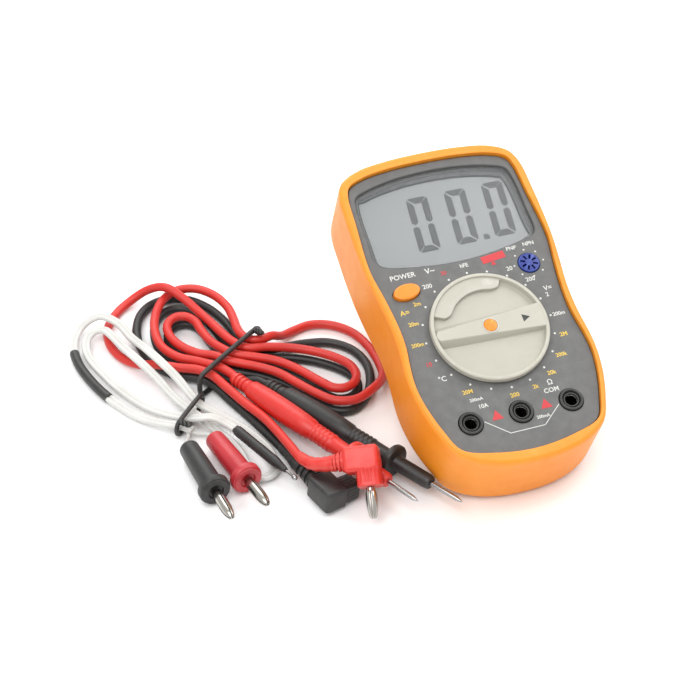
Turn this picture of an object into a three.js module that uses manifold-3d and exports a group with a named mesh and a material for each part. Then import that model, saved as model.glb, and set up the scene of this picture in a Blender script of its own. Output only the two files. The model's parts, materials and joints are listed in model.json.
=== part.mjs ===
import * as THREE from 'three';
import { mergeVertices } from 'three/addons/utils/BufferGeometryUtils.js';
import Module from 'manifold-3d';

// A handheld digital multimeter on its tilt stand, with a pair of test leads
// and a thermocouple lead lying beside it. Millimetres, +Z up.

const wasm = await Module();
wasm.setup();

// ---------------------------------------------------------------- dimensions
const tilt = THREE.MathUtils.degToRad(21.4); // slope of the panel on its stand
const gap = 0.3; // clearance between neighbouring pieces

// Heights in the meter's own frame: the panel's surface is zero.
const rimTop = 1.6;
const lipUnder = -0.8;
const plateUnder = -3.2;
const caseSplit = -13;
const rearFloorIn = -24.3;
const rearFloorOut = -26;
const holsterFloorIn = -26.3;
const holsterFloorOut = -29;
const edgeRound = 4;
const boardTop = -8;
const boardUnder = -9.6;

const holsterWall = 1.9;
const caseWall = 1.8;
const caseInset = holsterWall + gap;

// Right halves of the outlines, from the top middle to the bottom middle.
const holsterHalf = [
  [0, 77.4], [14, 76.9], [26, 75], [33.4, 71], [36, 65], [36.7, 54], [36.8, 36], [36.1, 25], [34.5, 10],
  [34.5, 0], [35.6, -14], [34.6, -25], [31.6, -36], [27.6, -44.6], [20, -49.9], [9, -52.9], [0, -53.4],
];
const panelHalf = [
  [0, 73.3], [14, 72.8], [25, 71.1], [31.2, 68.2], [32.8, 64], [33.6, 52], [34.6, 38], [34.6, 31], [33, 20],
  [31.8, 8], [31.8, 0], [33, -9], [33.5, -16], [32.6, -24], [29.6, -35], [25.8, -43.2], [15, -47], [0, -48.8],
];
const windowHalf = [
  [0, 69.3], [14, 68.4], [25, 66], [29.4, 64], [30.6, 60], [31.1, 45], [30.8, 35.6], [28, 33.2], [14, 30.3], [0, 29.3],
];
const outlineSteps = 52;

const knobRadius = 21.8;
const knobHeight = 2.9;
const shaftRadius = 5.7;
const capRadius = 2.4;
const rotorRadius = 16.5;
const jackRow = -33.9;
const jackPitch = 19;
const jackRadius = 4.3;
const sleeveRadius = 2.7;
const sleeveBore = 2.1;
const buttonAt = [-24.3, 21.2];
const socketAt = [23.9, 22.6];
const socketRadius = 4;
const caseScrews = [[-22, 68.4], [22, 68.4], [-25, -22], [25, -22]];
const battery = { x: 47, y: 26.2, z: 16.4, at: [0, 51.4, -15.9] };
const hinge = { y: 52, z: -28.2, pin: 1.1, halfWidth: 17 };

const probe = { length: 95, needle: 14, collar: 6.2 };
const cableRadius = 2;
const twinRadius = 1.8;
const wireRadius = 0.9;

// ------------------------------------------------------------------- helpers
const root = new THREE.Group();
const meter = new THREE.Group();
root.add(meter);

const finishes = {
  orange: [0xf79a2a, 0.55, 0],
  grey: [0x6e6e6b, 0.6, 0],
  putty: [0xc9c7ba, 0.55, 0],
  clear: [0xc6cdd0, 0.1, 0],
  display: [0xa9adad, 0.3, 0],
  black: [0x262625, 0.55, 0],
  blue: [0x2b49a8, 0.5, 0],
  red: [0xd93a2b, 0.5, 0],
  darkRed: [0xb02a35, 0.45, 0],
  white: [0xeeeeea, 0.5, 0],
  green: [0x2d6a45, 0.5, 0],
  nickel: [0xc8c6c0, 0.25, 1],
  brass: [0xc9a24b, 0.3, 1],
  steel: [0xb4b4b4, 0.3, 1],
};

const loose = (geometry) => {
  const plain = geometry.clone();
  plain.deleteAttribute('normal');
  plain.deleteAttribute('uv');
  const merged = mergeVertices(plain, 1e-4);
  const index = merged.index.array;
  const kept = [];
  for (let i = 0; i < index.length; i += 3) {
    const [a, b, c] = [index[i], index[i + 1], index[i + 2]];
    if (a !== b && b !== c && a !== c) kept.push(a, b, c);
  }
  merged.setIndex(kept);
  return merged;
};

// Turns every face outwards.
const outward = (geometry) => {
  const at = geometry.attributes.position;
  const index = geometry.index.array;
  const [a, b, c] = [new THREE.Vector3(), new THREE.Vector3(), new THREE.Vector3()];
  let volume = 0;
  for (let i = 0; i < index.length; i += 3) {
    a.fromBufferAttribute(at, index[i]);
    b.fromBufferAttribute(at, index[i + 1]);
    c.fromBufferAttribute(at, index[i + 2]);
    volume += a.dot(b.cross(c));
  }
  if (volume < 0) {
    for (let i = 0; i < index.length; i += 3) [index[i], index[i + 1]] = [index[i + 1], index[i]];
  }
  return geometry;
};

const solid = (geometry) => {
  const clean = outward(loose(geometry));
  return new wasm.Manifold(new wasm.Mesh({
    numProp: 3,
    vertProperties: new Float32Array(clean.attributes.position.array),
    triVerts: new Uint32Array(clean.index.array),
  }));
};

const shapeOf = (manifold) => {
  const mesh = manifold.getMesh();
  const geometry = new THREE.BufferGeometry();
  geometry.setAttribute('position', new THREE.BufferAttribute(new Float32Array(mesh.vertProperties), 3));
  geometry.setIndex(new THREE.BufferAttribute(new Uint32Array(mesh.triVerts), 1));
  return geometry;
};

const build = (base, added, removed) => {
  let body = solid(base);
  added.forEach((geometry) => { body = body.add(solid(geometry)); });
  removed.forEach((geometry) => { body = body.subtract(solid(geometry)); });
  return shapeOf(body);
};

const piece = (name, geometry, finish, parent = meter) => {
  const [color, roughness, metalness] = finishes[finish];
  const closed = geometry.index && !geometry.attributes.normal ? geometry : outward(loose(geometry));
  const mesh = new THREE.Mesh(closed, new THREE.MeshStandardMaterial({ color, roughness, metalness }));
  mesh.name = name;
  parent.add(mesh);
  return mesh;
};

const mirrored = (half) => {
  const left = half.slice(1, -1).reverse().map(([x, y]) => [-x, y]);
  return [...half, ...left].map(([x, y]) => new THREE.Vector3(x, y, 0));
};

// A smooth closed outline, moved inwards by inset.
const outline = (half, inset = 0, steps = outlineSteps) => {
  const curve = new THREE.CatmullRomCurve3(mirrored(half), true, 'centripetal');
  const points = curve.getSpacedPoints(steps).slice(0, -1);
  const count = points.length;
  return new THREE.Shape(points.map((point, i) => {
    const ahead = points[(i + 1) % count];
    const behind = points[(i + count - 1) % count];
    const along = new THREE.Vector2(ahead.x - behind.x, ahead.y - behind.y).normalize();
    return new THREE.Vector2(point.x + along.y * inset, point.y - along.x * inset);
  }));
};

const slab = (shape, low, high) => {
  const geometry = new THREE.ExtrudeGeometry(shape, { depth: high - low, bevelEnabled: false });
  return geometry.translate(0, 0, low);
};

const box = (x0, x1, y0, y1, z0, z1) => {
  const geometry = new THREE.BoxGeometry(x1 - x0, y1 - y0, z1 - z0);
  return geometry.translate((x0 + x1) / 2, (y0 + y1) / 2, (z0 + z1) / 2);
};

const roundBox = (x, y, z, round, [cx, cy, cz]) => {
  const shape = new THREE.Shape();
  const [w, h] = [x / 2 - round, y / 2 - round];
  shape.absarc(w, h, round, 0, Math.PI / 2);
  shape.absarc(-w, h, round, Math.PI / 2, Math.PI);
  shape.absarc(-w, -h, round, Math.PI, Math.PI * 1.5);
  shape.absarc(w, -h, round, Math.PI * 1.5, Math.PI * 2);
  const geometry = new THREE.ExtrudeGeometry(shape, { depth: z, bevelEnabled: false, curveSegments: 4 });
  return geometry.translate(cx, cy, cz - z / 2);
};

// A post round the Z axis.
const post = (radius, low, high, x = 0, y = 0, sides = 20) => {
  const geometry = new THREE.CylinderGeometry(radius, radius, high - low, sides);
  return geometry.rotateX(Math.PI / 2).translate(x, y, (low + high) / 2);
};

// A turned piece: the profile is [radius, height] and the axis is Z.
const turned = (profile, sides = 24) => {
  const points = profile.map(([r, z]) => new THREE.Vector2(r, z));
  return new THREE.LatheGeometry(points, sides).rotateX(Math.PI / 2);
};

const route = (points) => new THREE.CatmullRomCurve3(
  points.map(([x, y, z]) => new THREE.Vector3(x, y, z)), false, 'centripetal');

const tube = (points, radius, sides = 8, stepLength = 10) => {
  const curve = route(points);
  const section = new THREE.Shape();
  for (let i = 0; i < sides; i += 1) {
    const angle = (i / sides) * Math.PI * 2;
    const corner = [radius * Math.cos(angle), radius * Math.sin(angle)];
    if (i === 0) section.moveTo(...corner);
    else section.lineTo(...corner);
  }
  const steps = Math.max(3, Math.round(curve.getLength() / stepLength));
  return new THREE.ExtrudeGeometry(section, { steps, extrudePath: curve, bevelEnabled: false });
};

// Points a mesh's Z axis from one place to another.
const aim = (mesh, from, to) => {
  const start = new THREE.Vector3(...from);
  const along = new THREE.Vector3(...to).sub(start).normalize();
  mesh.quaternion.setFromUnitVectors(new THREE.Vector3(0, 0, 1), along);
  mesh.position.copy(start);
  return mesh;
};

// --------------------------------------------------------------------- shell
const eggShape = (grow = 0) => {
  const shape = new THREE.Shape();
  shape.absellipse(0, 0, 5.1 + grow, 3.1 + grow, 0, Math.PI * 2, false, THREE.MathUtils.degToRad(6));
  return shape;
};

const egg = (low, high, grow = 0) => {
  const geometry = new THREE.ExtrudeGeometry(eggShape(grow), {
    depth: high - low, bevelEnabled: false, curveSegments: 10,
  });
  return geometry.translate(buttonAt[0], buttonAt[1], low);
};

const makeHolster = () => {
  const rounded = new THREE.ExtrudeGeometry(outline(holsterHalf), {
    depth: rimTop - holsterFloorOut - 2 * edgeRound,
    bevelEnabled: true,
    bevelThickness: edgeRound,
    bevelSize: edgeRound,
    bevelOffset: -edgeRound,
    bevelSegments: 4,
  }).translate(0, 0, holsterFloorOut + edgeRound);
  const earOut = hinge.halfWidth + 4.2;
  const earIn = hinge.halfWidth + 0.4;
  const ears = [-1, 1].map((side) => {
    const ear = roundBox(earOut - earIn, 7, 5, 0.8, [side * (earOut + earIn) / 2, hinge.y, hinge.z]);
    return ear;
  });
  const pinHoles = [-1, 1].map((side) => {
    const hole = new THREE.CylinderGeometry(hinge.pin + gap, hinge.pin + gap, 3.6, 16).rotateZ(Math.PI / 2);
    return hole.translate(side * (hinge.halfWidth + 1.9), hinge.y, hinge.z);
  });
  piece('holster', build(rounded, ears, [
    slab(outline(holsterHalf, holsterWall), holsterFloorIn, lipUnder),
    slab(outline(panelHalf), lipUnder - 0.1, rimTop + 1),
    box(-hinge.halfWidth - 0.4, hinge.halfWidth + 0.4, 8, hinge.y + 4, holsterFloorOut - 4, holsterFloorIn + 0.1),
    ...pinHoles,
  ]), 'orange');
};

const makeFrontCase = () => {
  const plate = slab(outline(holsterHalf, caseInset), caseSplit, lipUnder - gap);
  const raised = slab(outline(panelHalf, gap), lipUnder - gap - 0.1, 0);
  const hollow = slab(outline(holsterHalf, caseInset + caseWall), caseSplit - 0.1, plateUnder);
  const bosses = caseScrews.map(([x, y]) => post(3.1, caseSplit, plateUnder + 0.1, x, y, 16));
  const pilots = caseScrews.map(([x, y]) => post(1.5, caseSplit - 1, plateUnder - 2, x, y, 12));
  const jacks = [-1, 0, 1].map((i) => post(jackRadius + gap, plateUnder - 1, 1, i * jackPitch, jackRow, 24));
  const shell = shapeOf(solid(plate).subtract(solid(hollow)));
  piece('front_case', build(shell, [raised, ...bosses], [
    ...pilots,
    ...jacks,
    post(shaftRadius + gap, plateUnder - 1, 1, 0, 0, 28),
    post(socketRadius + gap, plateUnder - 1, 1, ...socketAt, 20),
    egg(plateUnder - 1, 1, gap),
    slab(outline(windowHalf, -gap, 40), -2.2, 1),
    box(-27, 27, 35.5, 63.5, plateUnder - 1, -2.1),
  ]), 'grey');
};

const makeRearCase = () => {
  const tub = slab(outline(holsterHalf, caseInset), rearFloorOut, caseSplit - gap);
  const hollow = slab(outline(holsterHalf, caseInset + caseWall), rearFloorIn, caseSplit);
  const shell = shapeOf(solid(tub).subtract(solid(hollow)));
  const posts = caseScrews.map(([x, y]) => post(3.4, rearFloorOut, caseSplit - gap, x, y, 16));
  const holes = caseScrews.flatMap(([x, y]) => [
    post(1.5, rearFloorOut - 1, caseSplit + 1, x, y, 12),
    post(2.9, rearFloorOut - 1, -23.2, x, y, 16),
  ]);
  const pad = box(-7.5, 7.5, 30, 37.9, rearFloorIn - 0.1, -23);
  piece('rear_case', build(shell, [...posts, pad, post(3, rearFloorIn - 0.1, -19, 0, 35, 16)], [
    ...holes,
    box(-24, 24, 39, 64, rearFloorOut - 1, rearFloorIn + 1),
    box(-6, 6, 31.5, 39.1, rearFloorOut - 1, -24.3),
    post(1.5, rearFloorOut - 1, -18, 0, 35, 12),
  ]), 'grey');
};

const screwProfile = (head, shank, headHeight, length) => [
  [0, 0], [head, 0], [head, headHeight], [shank, headHeight], [shank, length - 1], [0.3, length], [0, length],
];

const makeFasteners = () => {
  caseScrews.forEach(([x, y], i) => {
    const screw = piece(`case_screw_${i + 1}`, turned(screwProfile(2.6, 1.2, 2, 19), 12), 'steel');
    screw.position.set(x, y, -25.5);
  });
  const doorScrew = piece('battery_door_screw', turned(screwProfile(1.8, 1.2, 0.5, 5.6), 10), 'steel');
  doorScrew.position.set(0, 35, -25.9);
};

const makeBatteryBay = () => {
  piece('battery_door', build(box(-23.7, 23.7, 39.3, 63.7, rearFloorOut, rearFloorIn - 0.1), [
    box(-5.7, 5.7, 31.8, 39.4, rearFloorOut, -24.6),
  ], [post(1.5, rearFloorOut - 1, -20, 0, 35, 12), post(2.1, rearFloorOut - 1, -25.2, 0, 35, 12)]), 'grey');
  piece('battery', roundBox(battery.x, battery.y, battery.z, 2, battery.at), 'steel');
  piece('battery_snap', roundBox(3.2, 22, 12, 1, [25.6, battery.at[1], battery.at[2]]), 'black');
  piece('battery_lead_red', tube([[26, 40, -13], [25.6, 36.5, -12.6], [22.5, 33.5, -11.2], [21.4, 32.6, -10.8]], 0.7, 6, 4), 'red');
  piece('battery_lead_black', tube([[25.4, 40, -17], [24.4, 36, -16], [19.5, 32, -12], [17.4, 31, -10.8]], 0.7, 6, 4), 'black');
};

// ------------------------------------------------------------------- display
const makeDisplay = () => {
  piece('lcd_window', slab(outline(windowHalf, 0, 40), -1.9, -0.5), 'clear');
  piece('lcd_module', box(-28, 28, 33.2, 63.3, -6.3, plateUnder - gap), 'display');
  const frame = new THREE.Shape([[-30.4, 31.2], [30.4, 31.2], [30.4, 62.5], [29, 65], [-29, 65], [-30.4, 62.5]]
    .map(([x, y]) => new THREE.Vector2(x, y)));
  piece('lcd_frame', build(slab(frame, -7.2, plateUnder - gap), [], [
    box(-28.3, 28.3, 32.9, 63.6, -7.3, plateUnder),
  ]), 'black');
  piece('zebra_strip', box(-25, 25, 33.8, 35.6, boardTop + gap, -6.6), 'red');
};

// --------------------------------------------------------------------- board
const makeBoard = () => {
  const shape = new THREE.Shape([
    [28.3, 37.4], [28.3, -17], [26.3, -30], [19, -42], [-19, -42], [-26.3, -30], [-28.3, -17], [-28.3, 37.4],
  ].map(([x, y]) => new THREE.Vector2(x, y)));
  const holes = [
    ...[-1, 0, 1].map((i) => post(sleeveRadius + gap, boardUnder - 1, boardTop + 1, i * jackPitch, jackRow, 20)),
    post(3.1 + gap, boardUnder - 1, boardTop + 1, -25, -22, 16),
    post(3.1 + gap, boardUnder - 1, boardTop + 1, 25, -22, 16),
    post(2, boardUnder - 1, boardTop + 1, ...buttonAt, 16),
  ];
  piece('circuit_board', build(slab(shape, boardUnder, boardTop), [], holes), 'green');
  const under = boardUnder - gap;
  const fuseTube = new THREE.CylinderGeometry(2.5, 2.5, 20, 12).rotateZ(Math.PI / 2).translate(0, -17, -14.1);
  piece('fuse', fuseTube, 'clear');
  [-1, 1].forEach((side) => {
    const clip = build(box(side * 7.6 - 1.6, side * 7.6 + 1.6, -20.6, -13.4, -15, under), [], [
      new THREE.CylinderGeometry(2.8, 2.8, 6, 12).rotateZ(Math.PI / 2).translate(side * 7.6, -17, -14.1),
      box(side * 7.6 - 2, side * 7.6 + 2, -18.6, -15.4, -17, -14),
    ]);
    piece(side < 0 ? 'fuse_clip_left' : 'fuse_clip_right', clip, 'brass');
  });
  piece('buzzer', post(7, under - 3.2, under, 12, 12, 20), 'black');
  piece('current_shunt', tube([
    [-17, -6, under - 0.1], [-17, -6, under - 3], [-14, -6, under - 5], [-11, -6, under - 3], [-11, -6, under - 0.1],
  ], 0.8, 8, 2), 'brass');
};

// --------------------------------------------------------------- rotary knob
const makeKnob = () => {
  const disc = turned([
    [0, -4.9], [shaftRadius, -4.9], [shaftRadius, 0.35], [knobRadius, 0.35], [knobRadius, knobHeight - 0.5],
    [knobRadius - 0.6, knobHeight], [knobRadius - 1.6, knobHeight], [knobRadius - 2.1, 1.5], [0, 1.5],
  ], 48);
  const bar = new THREE.Shape([
    [-20.2, -1.9], [20.4, -4.4], [20.4, 4.4], [-20.2, 1.9],
  ].map(([x, y]) => new THREE.Vector2(x, y)));
  const crescent = new THREE.Shape();
  crescent.absarc(0, 0, knobRadius - 1, THREE.MathUtils.degToRad(58), THREE.MathUtils.degToRad(152));
  crescent.absarc(0, 0, knobRadius - 6.5, THREE.MathUtils.degToRad(148), THREE.MathUtils.degToRad(62), true);
  piece('rotary_knob', build(disc, [slab(bar, 1.4, 3.5), slab(crescent, 1.4, 3.1)], [
    post(capRadius + gap, 2.2, 4, 0, 0, 16),
  ]), 'putty');
  piece('knob_cap', turned([[0, 2.5], [capRadius, 2.5], [capRadius, 3.1], [capRadius - 0.3, 3.35], [0, 3.35]], 16), 'orange');
  piece('contact_rotor', turned([
    [0, -6.7], [rotorRadius, -6.7], [rotorRadius, -5.8], [rotorRadius - 1, -5.8], [rotorRadius - 1, -5.2], [0, -5.2],
  ], 28), 'white');
  [40, 220].forEach((degrees, i) => {
    const wiper = piece(`contact_wiper_${i + 1}`, roundBox(9, 2.4, 0.6, 0.5, [9.5, 0, -7.3]), 'brass');
    wiper.rotation.z = THREE.MathUtils.degToRad(degrees);
  });
  [-1, 1].forEach((side) => {
    const ball = new THREE.SphereGeometry(0.75, 8, 6).translate(side * 12.5, 0, -4.2);
    piece(side < 0 ? 'detent_ball_left' : 'detent_ball_right', ball, 'steel');
  });
};

// ------------------------------------------------------------------ controls
const makePowerSwitch = () => {
  piece('power_button', build(egg(-3, 1.7), [egg(-4.6, plateUnder - gap, 1.2), egg(-4.5, 0, -0.2)], []), 'orange');
  const [x, y] = buttonAt;
  piece('switch_plunger', post(1.5, -12.6, -4.9, x, y, 12), 'white');
  piece('power_switch', build(box(x - 3.8, x + 3.8, y - 4, y + 4, -17, boardUnder - gap), [], [
    post(1.5 + gap, -15, -9, x, y, 12),
  ]), 'black');
};

const makeSocket = () => {
  const [x, y] = socketAt;
  const slots = Array.from({ length: 8 }, (_, i) => {
    const angle = (i + 0.5) * Math.PI / 4;
    return post(0.45, -2.4, 1, x + 2.5 * Math.cos(angle), y + 2.5 * Math.sin(angle), 6);
  });
  piece('transistor_socket', build(post(socketRadius, boardTop + gap, 0.6, x, y, 24), [], slots), 'blue');
};

const makeJacks = () => {
  ['left', 'middle', 'right'].forEach((side, i) => {
    const x = (i - 1) * jackPitch;
    const ring = turned([
      [sleeveRadius + gap, boardTop + gap], [jackRadius, boardTop + gap], [jackRadius, 0.5], [jackRadius - 0.3, 0.8],
      [sleeveRadius + 0.7, 0.8], [sleeveRadius + gap, 0.4], [sleeveRadius + gap, boardTop + gap],
    ], 24);
    piece(`jack_insulator_${side}`, ring, 'black').position.set(x, jackRow, 0);
    const sleeve = turned([
      [sleeveBore, -19], [sleeveRadius, -19], [sleeveRadius, -0.6], [sleeveBore, -0.6], [sleeveBore, -19],
    ], 20);
    piece(`jack_sleeve_${side}`, sleeve, 'nickel').position.set(x, jackRow, 0);
  });
};

// --------------------------------------------------------------------- stand
// Where the meter's lower back edge and the stand's foot meet the table.
const edgeY = -53.4 + edgeRound;
const edgeZ = holsterFloorOut + edgeRound;
const lift = edgeRound - edgeY * Math.sin(tilt) - edgeZ * Math.cos(tilt);
const footThickness = 2;
const footZ = -(lift + (hinge.y - footThickness / 2) * Math.sin(tilt)) / Math.cos(tilt);

const makeStand = () => {
  const leg = roundBox(2 * hinge.halfWidth, hinge.z - footZ, footThickness, 0.8, [0, 0, 0]);
  leg.rotateX(Math.PI / 2).translate(0, hinge.y, (hinge.z + footZ) / 2);
  const barrel = new THREE.CylinderGeometry(hinge.pin, hinge.pin, 2 * hinge.halfWidth + 6.8, 16).rotateZ(Math.PI / 2);
  const knuckle = new THREE.CylinderGeometry(1.9, 1.9, 2 * hinge.halfWidth, 16).rotateZ(Math.PI / 2);
  piece('tilt_stand', build(leg, [
    barrel.translate(0, hinge.y, hinge.z), knuckle.translate(0, hinge.y, hinge.z),
  ], [box(-10, 10, hinge.y - 3, hinge.y + 3, footZ + 8, hinge.z - 8)]), 'orange');
};

// --------------------------------------------------------------------- leads
const leads = new THREE.Group();
root.add(leads);

const probeProfile = [
  [0, 14.3], [2.5, 14.3], [2.9, 15.2], [2.9, 30.4], [5.6, 30.6], [probe.collar, 31.2], [probe.collar, 33],
  [5.4, 33.6], [3, 33.8], [3.3, 45], [3.6, 52], [3.8, 53], [4.35, 64], [4.25, 76], [3.6, 85], [2.4, 89], [2.3, 95], [0, 95],
];

const makeProbe = (colour, tip, tail) => {
  aim(piece(`${colour}_probe_handle`, turned(probeProfile, 16), colour, leads), tip, tail);
  const needle = turned([[0, 0], [0.3, 0.4], [0.9, 2.6], [0.9, probe.needle], [0, probe.needle]], 10);
  aim(piece(`${colour}_probe_needle`, needle, 'steel', leads), tip, tail);
};

// A right-angle banana plug: the cable comes in along +X, the pin leaves along -Y.
const makePlug = (colour, elbow, inward, pinAlong, reach) => {
  const x = new THREE.Vector3(...inward).normalize();
  const y = new THREE.Vector3(...pinAlong).negate();
  y.addScaledVector(x, -y.dot(x)).normalize();
  const frame = new THREE.Matrix4().makeBasis(x, y, new THREE.Vector3().crossVectors(x, y));
  frame.setPosition(...elbow);
  const relief = turned([[0, -reach], [2.9, -reach], [3.5, -8.9], [3.5, -8], [0, -8]], 12).rotateY(Math.PI / 2);
  const barrel = turned([[0, 0], [4.2, 0], [4.1, 10], [0, 10]], 16).rotateX(Math.PI / 2);
  const block = roundBox(12.6, 9.2, 9.2, 1.6, [-2.1, 0, 0]);
  const body = piece(`${colour}_plug_body`, build(block, [relief, barrel], []), colour, leads);
  body.applyMatrix4(frame);
  const pin = turned([[0, 10.3], [2, 10.3], [2, 18.6], [1.2, 20.8], [0, 21.2]], 12).rotateX(Math.PI / 2);
  piece(`${colour}_plug_pin`, pin, 'nickel', leads).applyMatrix4(frame);
};

const blackCable = [
  [-73.7, -18.3, 5.3], [-74.3, -12.6, 4], [-75.8, -5, 2.2], [-79, 5, 2.2], [-82.5, 15, 2.2], [-86.5, 25, 2.2],
  [-89, 31, 2.2], [-91, 35.3, 2.2], [-94.8, 40, 2.2], [-100.5, 44.4, 2.2], [-106, 50, 2.2], [-109.6, 58, 2.2],
  [-110.8, 67, 2.2], [-109.6, 76, 2.2], [-106, 84, 2.2], [-100, 89.2, 2.2], [-92.5, 90.2, 2.2], [-85.4, 87, 2.2],
  [-79.8, 80.4, 2.2], [-76, 71.5, 2.2], [-74, 62, 2.2], [-73.2, 54.5, 2.2], [-71, 49, 2.2], [-67.4, 47.7, 2.2],
  [-61, 46.8, 2.2], [-50, 47, 2.2], [-40.5, 44.4, 2.2], [-33.8, 38, 2.2], [-31, 28, 2.2], [-33, 18, 2.2],
  [-38.2, 9.4, 2.2], [-44.8, 5.4, 2.2], [-50.6, 7, 2.2], [-54.9, 12.8, 2.2], [-59.8, 21.2, 2.2], [-65.6, 28.6, 2.2],
  [-71.8, 34.4, 2.2], [-78.8, 37.6, 2.2], [-82.8, 41, 2.2], [-86.6, 46, 2.2], [-92, 51.4, 2.2], [-97, 57.6, 2.2],
  [-99.5, 63.4, 2.2], [-98.8, 68.9, 2.2], [-95.6, 72.9, 2.2], [-91, 73.4, 2.2], [-87.4, 70.6, 2.2], [-85.6, 66, 2.2],
  [-84.4, 59.4, 2.2], [-82.6, 51, 2.2], [-78.8, 43.6, 2.2], [-74.4, 40, 2.2], [-68.6, 38.8, 2.2], [-64, 35.8, 2.2],
  [-59.6, 30.6, 2.2], [-55.4, 25.4, 2.2], [-52.2, 20.6, 2.2], [-50.6, 15.6, 2.2], [-47, 12.4, 2.2], [-42.6, 12.3, 2.2],
  [-39.2, 15, 2.2], [-37.8, 19.2, 2.2], [-38.7, 23.6, 2.2], [-42.6, 29.6, 2.2], [-50.4, 36.6, 2.2], [-60, 41.6, 2.2],
  [-67.4, 43.1, 2.2], [-73.4, 45, 2.2], [-77.4, 50.8, 2.2], [-79.4, 60, 2.2], [-81.4, 69.6, 2.2], [-84.8, 78, 2.2],
  [-89.8, 83, 2.2], [-96, 83, 2.2], [-101, 78.4, 2.2], [-103.9, 70, 2.2], [-104, 61, 2.2], [-101, 53.4, 2.2],
  [-96, 47.4, 2.2], [-90.6, 43, 2.2], [-86.6, 38.2, 2.2], [-82.6, 34, 2.3], [-78, 32.3, 3], [-74.2, 30.1, 4.6],
  [-72.1, 26.9, 5],
];

const redCable = [
  [-67, -30.4, 14.2], [-70.8, -27.6, 13], [-73.6, -21, 11.2], [-74.6, -12, 9], [-76, -2, 7.2], [-78.6, 8, 6.6],
  [-83, 18, 6.6], [-87, 27.4, 6.5], [-90.6, 35.3, 6.5], [-94.6, 40, 6.5], [-101, 44.6, 6.5], [-108, 49.4, 6],
  [-114.6, 55, 3.4], [-119.6, 63, 2.2], [-121.6, 72, 2.2], [-119.8, 81, 2.2], [-114.6, 88.4, 2.2],
  [-107.6, 93, 3.2], [-100.4, 92.4, 7.4], [-94.4, 87.6, 10.8], [-89, 81, 9], [-85, 74, 6.8], [-82, 66, 6.5],
  [-79.6, 58, 6.5], [-77.2, 50.6, 6.5], [-73.2, 45.6, 6.5], [-66, 44.2, 6.5], [-57, 41.6, 6.5], [-49.8, 37.2, 6.5],
  [-42.8, 31, 6.5], [-38.7, 24.8, 6.5], [-38.2, 19.4, 6.5], [-40.3, 15.2, 6.5], [-44.4, 13.4, 6.5], [-48.6, 14.6, 6.5],
  [-51.4, 18.2, 6.5], [-54.2, 22.6, 6.5], [-58.2, 29, 6.5], [-64.2, 36, 6.5], [-71.6, 39.9, 6.5], [-78.8, 43.7, 6.5],
  [-82.6, 49, 6.5], [-85.4, 56, 6.5], [-86.9, 63, 6.5], [-87.7, 68.9, 6.5], [-90.6, 72.9, 6.5], [-95, 73.4, 6.5],
  [-98.5, 70, 6.5], [-99.3, 64.4, 6.5], [-97.4, 57.4, 6.5], [-92, 50.4, 6.5], [-86.2, 45.6, 6.5], [-82.4, 41, 6.5],
  [-78, 38, 6.5], [-72, 34.8, 6.5], [-66, 29.6, 6.5], [-61, 21.8, 6.5], [-55.9, 14, 6.5], [-50.6, 8, 6.5],
  [-43, 6, 6.5], [-35.2, 9.4, 6.5], [-28.6, 16.6, 4.4], [-26.2, 27, 2.2], [-27, 38, 2.2], [-30.6, 48, 2.2],
  [-37.2, 54.6, 2.2], [-44.4, 57, 2.2], [-51.2, 55.8, 2.2], [-57.2, 52.8, 3.6], [-62.2, 50.2, 6],
  [-66.5, 48.7, 6.6], [-70.4, 49.6, 6.6], [-72.9, 53.4, 6.5], [-73.5, 58.4, 6.5], [-73, 65, 6.5],
  [-73.2, 73, 6.5], [-76.4, 82, 6.5], [-82.4, 88.2, 6.5], [-89.6, 89.4, 6.5], [-96, 85.6, 6.5], [-101, 78, 6.5],
  [-104, 68.4, 6.5], [-103.8, 58.4, 6.5], [-99.6, 50.6, 6.5], [-94, 45.8, 6.5], [-90, 41.8, 6.5], [-86.1, 37.4, 6.9],
  [-82.9, 32.4, 6.9],
];

const twinCable = [
  [-104.4, 12.6, 2], [-107.7, 16, 2], [-113, 19.4, 2], [-120, 26, 2], [-127.5, 37.5, 2], [-133, 51, 2],
  [-135.8, 65, 2], [-134.5, 77, 2], [-129, 84, 3.4], [-122, 83.4, 6.4], [-116.6, 77, 6.6], [-113.6, 67, 6.4],
  [-110.6, 56, 9.2], [-107.6, 46, 10.4], [-103.6, 38, 8], [-100.6, 31, 4], [-98, 25.4, 2], [-94, 20, 2],
  [-88.8, 13.4, 2], [-84, 4.6, 2], [-80.7, -5, 2], [-80.4, -12.4, 2], [-81.8, -16.4, 2], [-85.2, -18.2, 2],
  [-88.7, -16.6, 2], [-90.3, -12.4, 2], [-91, -3, 2], [-92.6, 4, 2], [-95.8, 10.6, 2], [-98.6, 16.4, 2],
  [-101.8, 22, 2], [-105.9, 31, 3], [-111, 42.6, 7], [-115.4, 53, 8.2], [-118, 62, 6.8], [-120.6, 70.6, 6.6],
  [-122.4, 75, 6.2], [-126, 76.9, 5], [-129.6, 75, 3.4], [-131, 70.6, 2.3], [-130.8, 65, 2], [-128.4, 56, 2],
  [-124, 44, 2], [-118, 33, 2], [-111, 24.5, 2], [-104.8, 19, 2.6], [-100.8, 15, 5.2], [-97.6, 13.8, 6.1],
  [-94.6, 12.4, 5.8], [-91.6, 10, 4.8], [-89.7, 7.3, 4.4],
];

const leadTie = { at: [-81.2, 42.2], angle: Math.atan2(0.578, 0.816), halfWidth: 18.2, high: 10.8 };
const thermoTie = { at: [-103.3, 20.5], angle: Math.atan2(0.714, 0.7), halfWidth: 9.8, high: 6.6 };
const tieThickness = 0.7;

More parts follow.
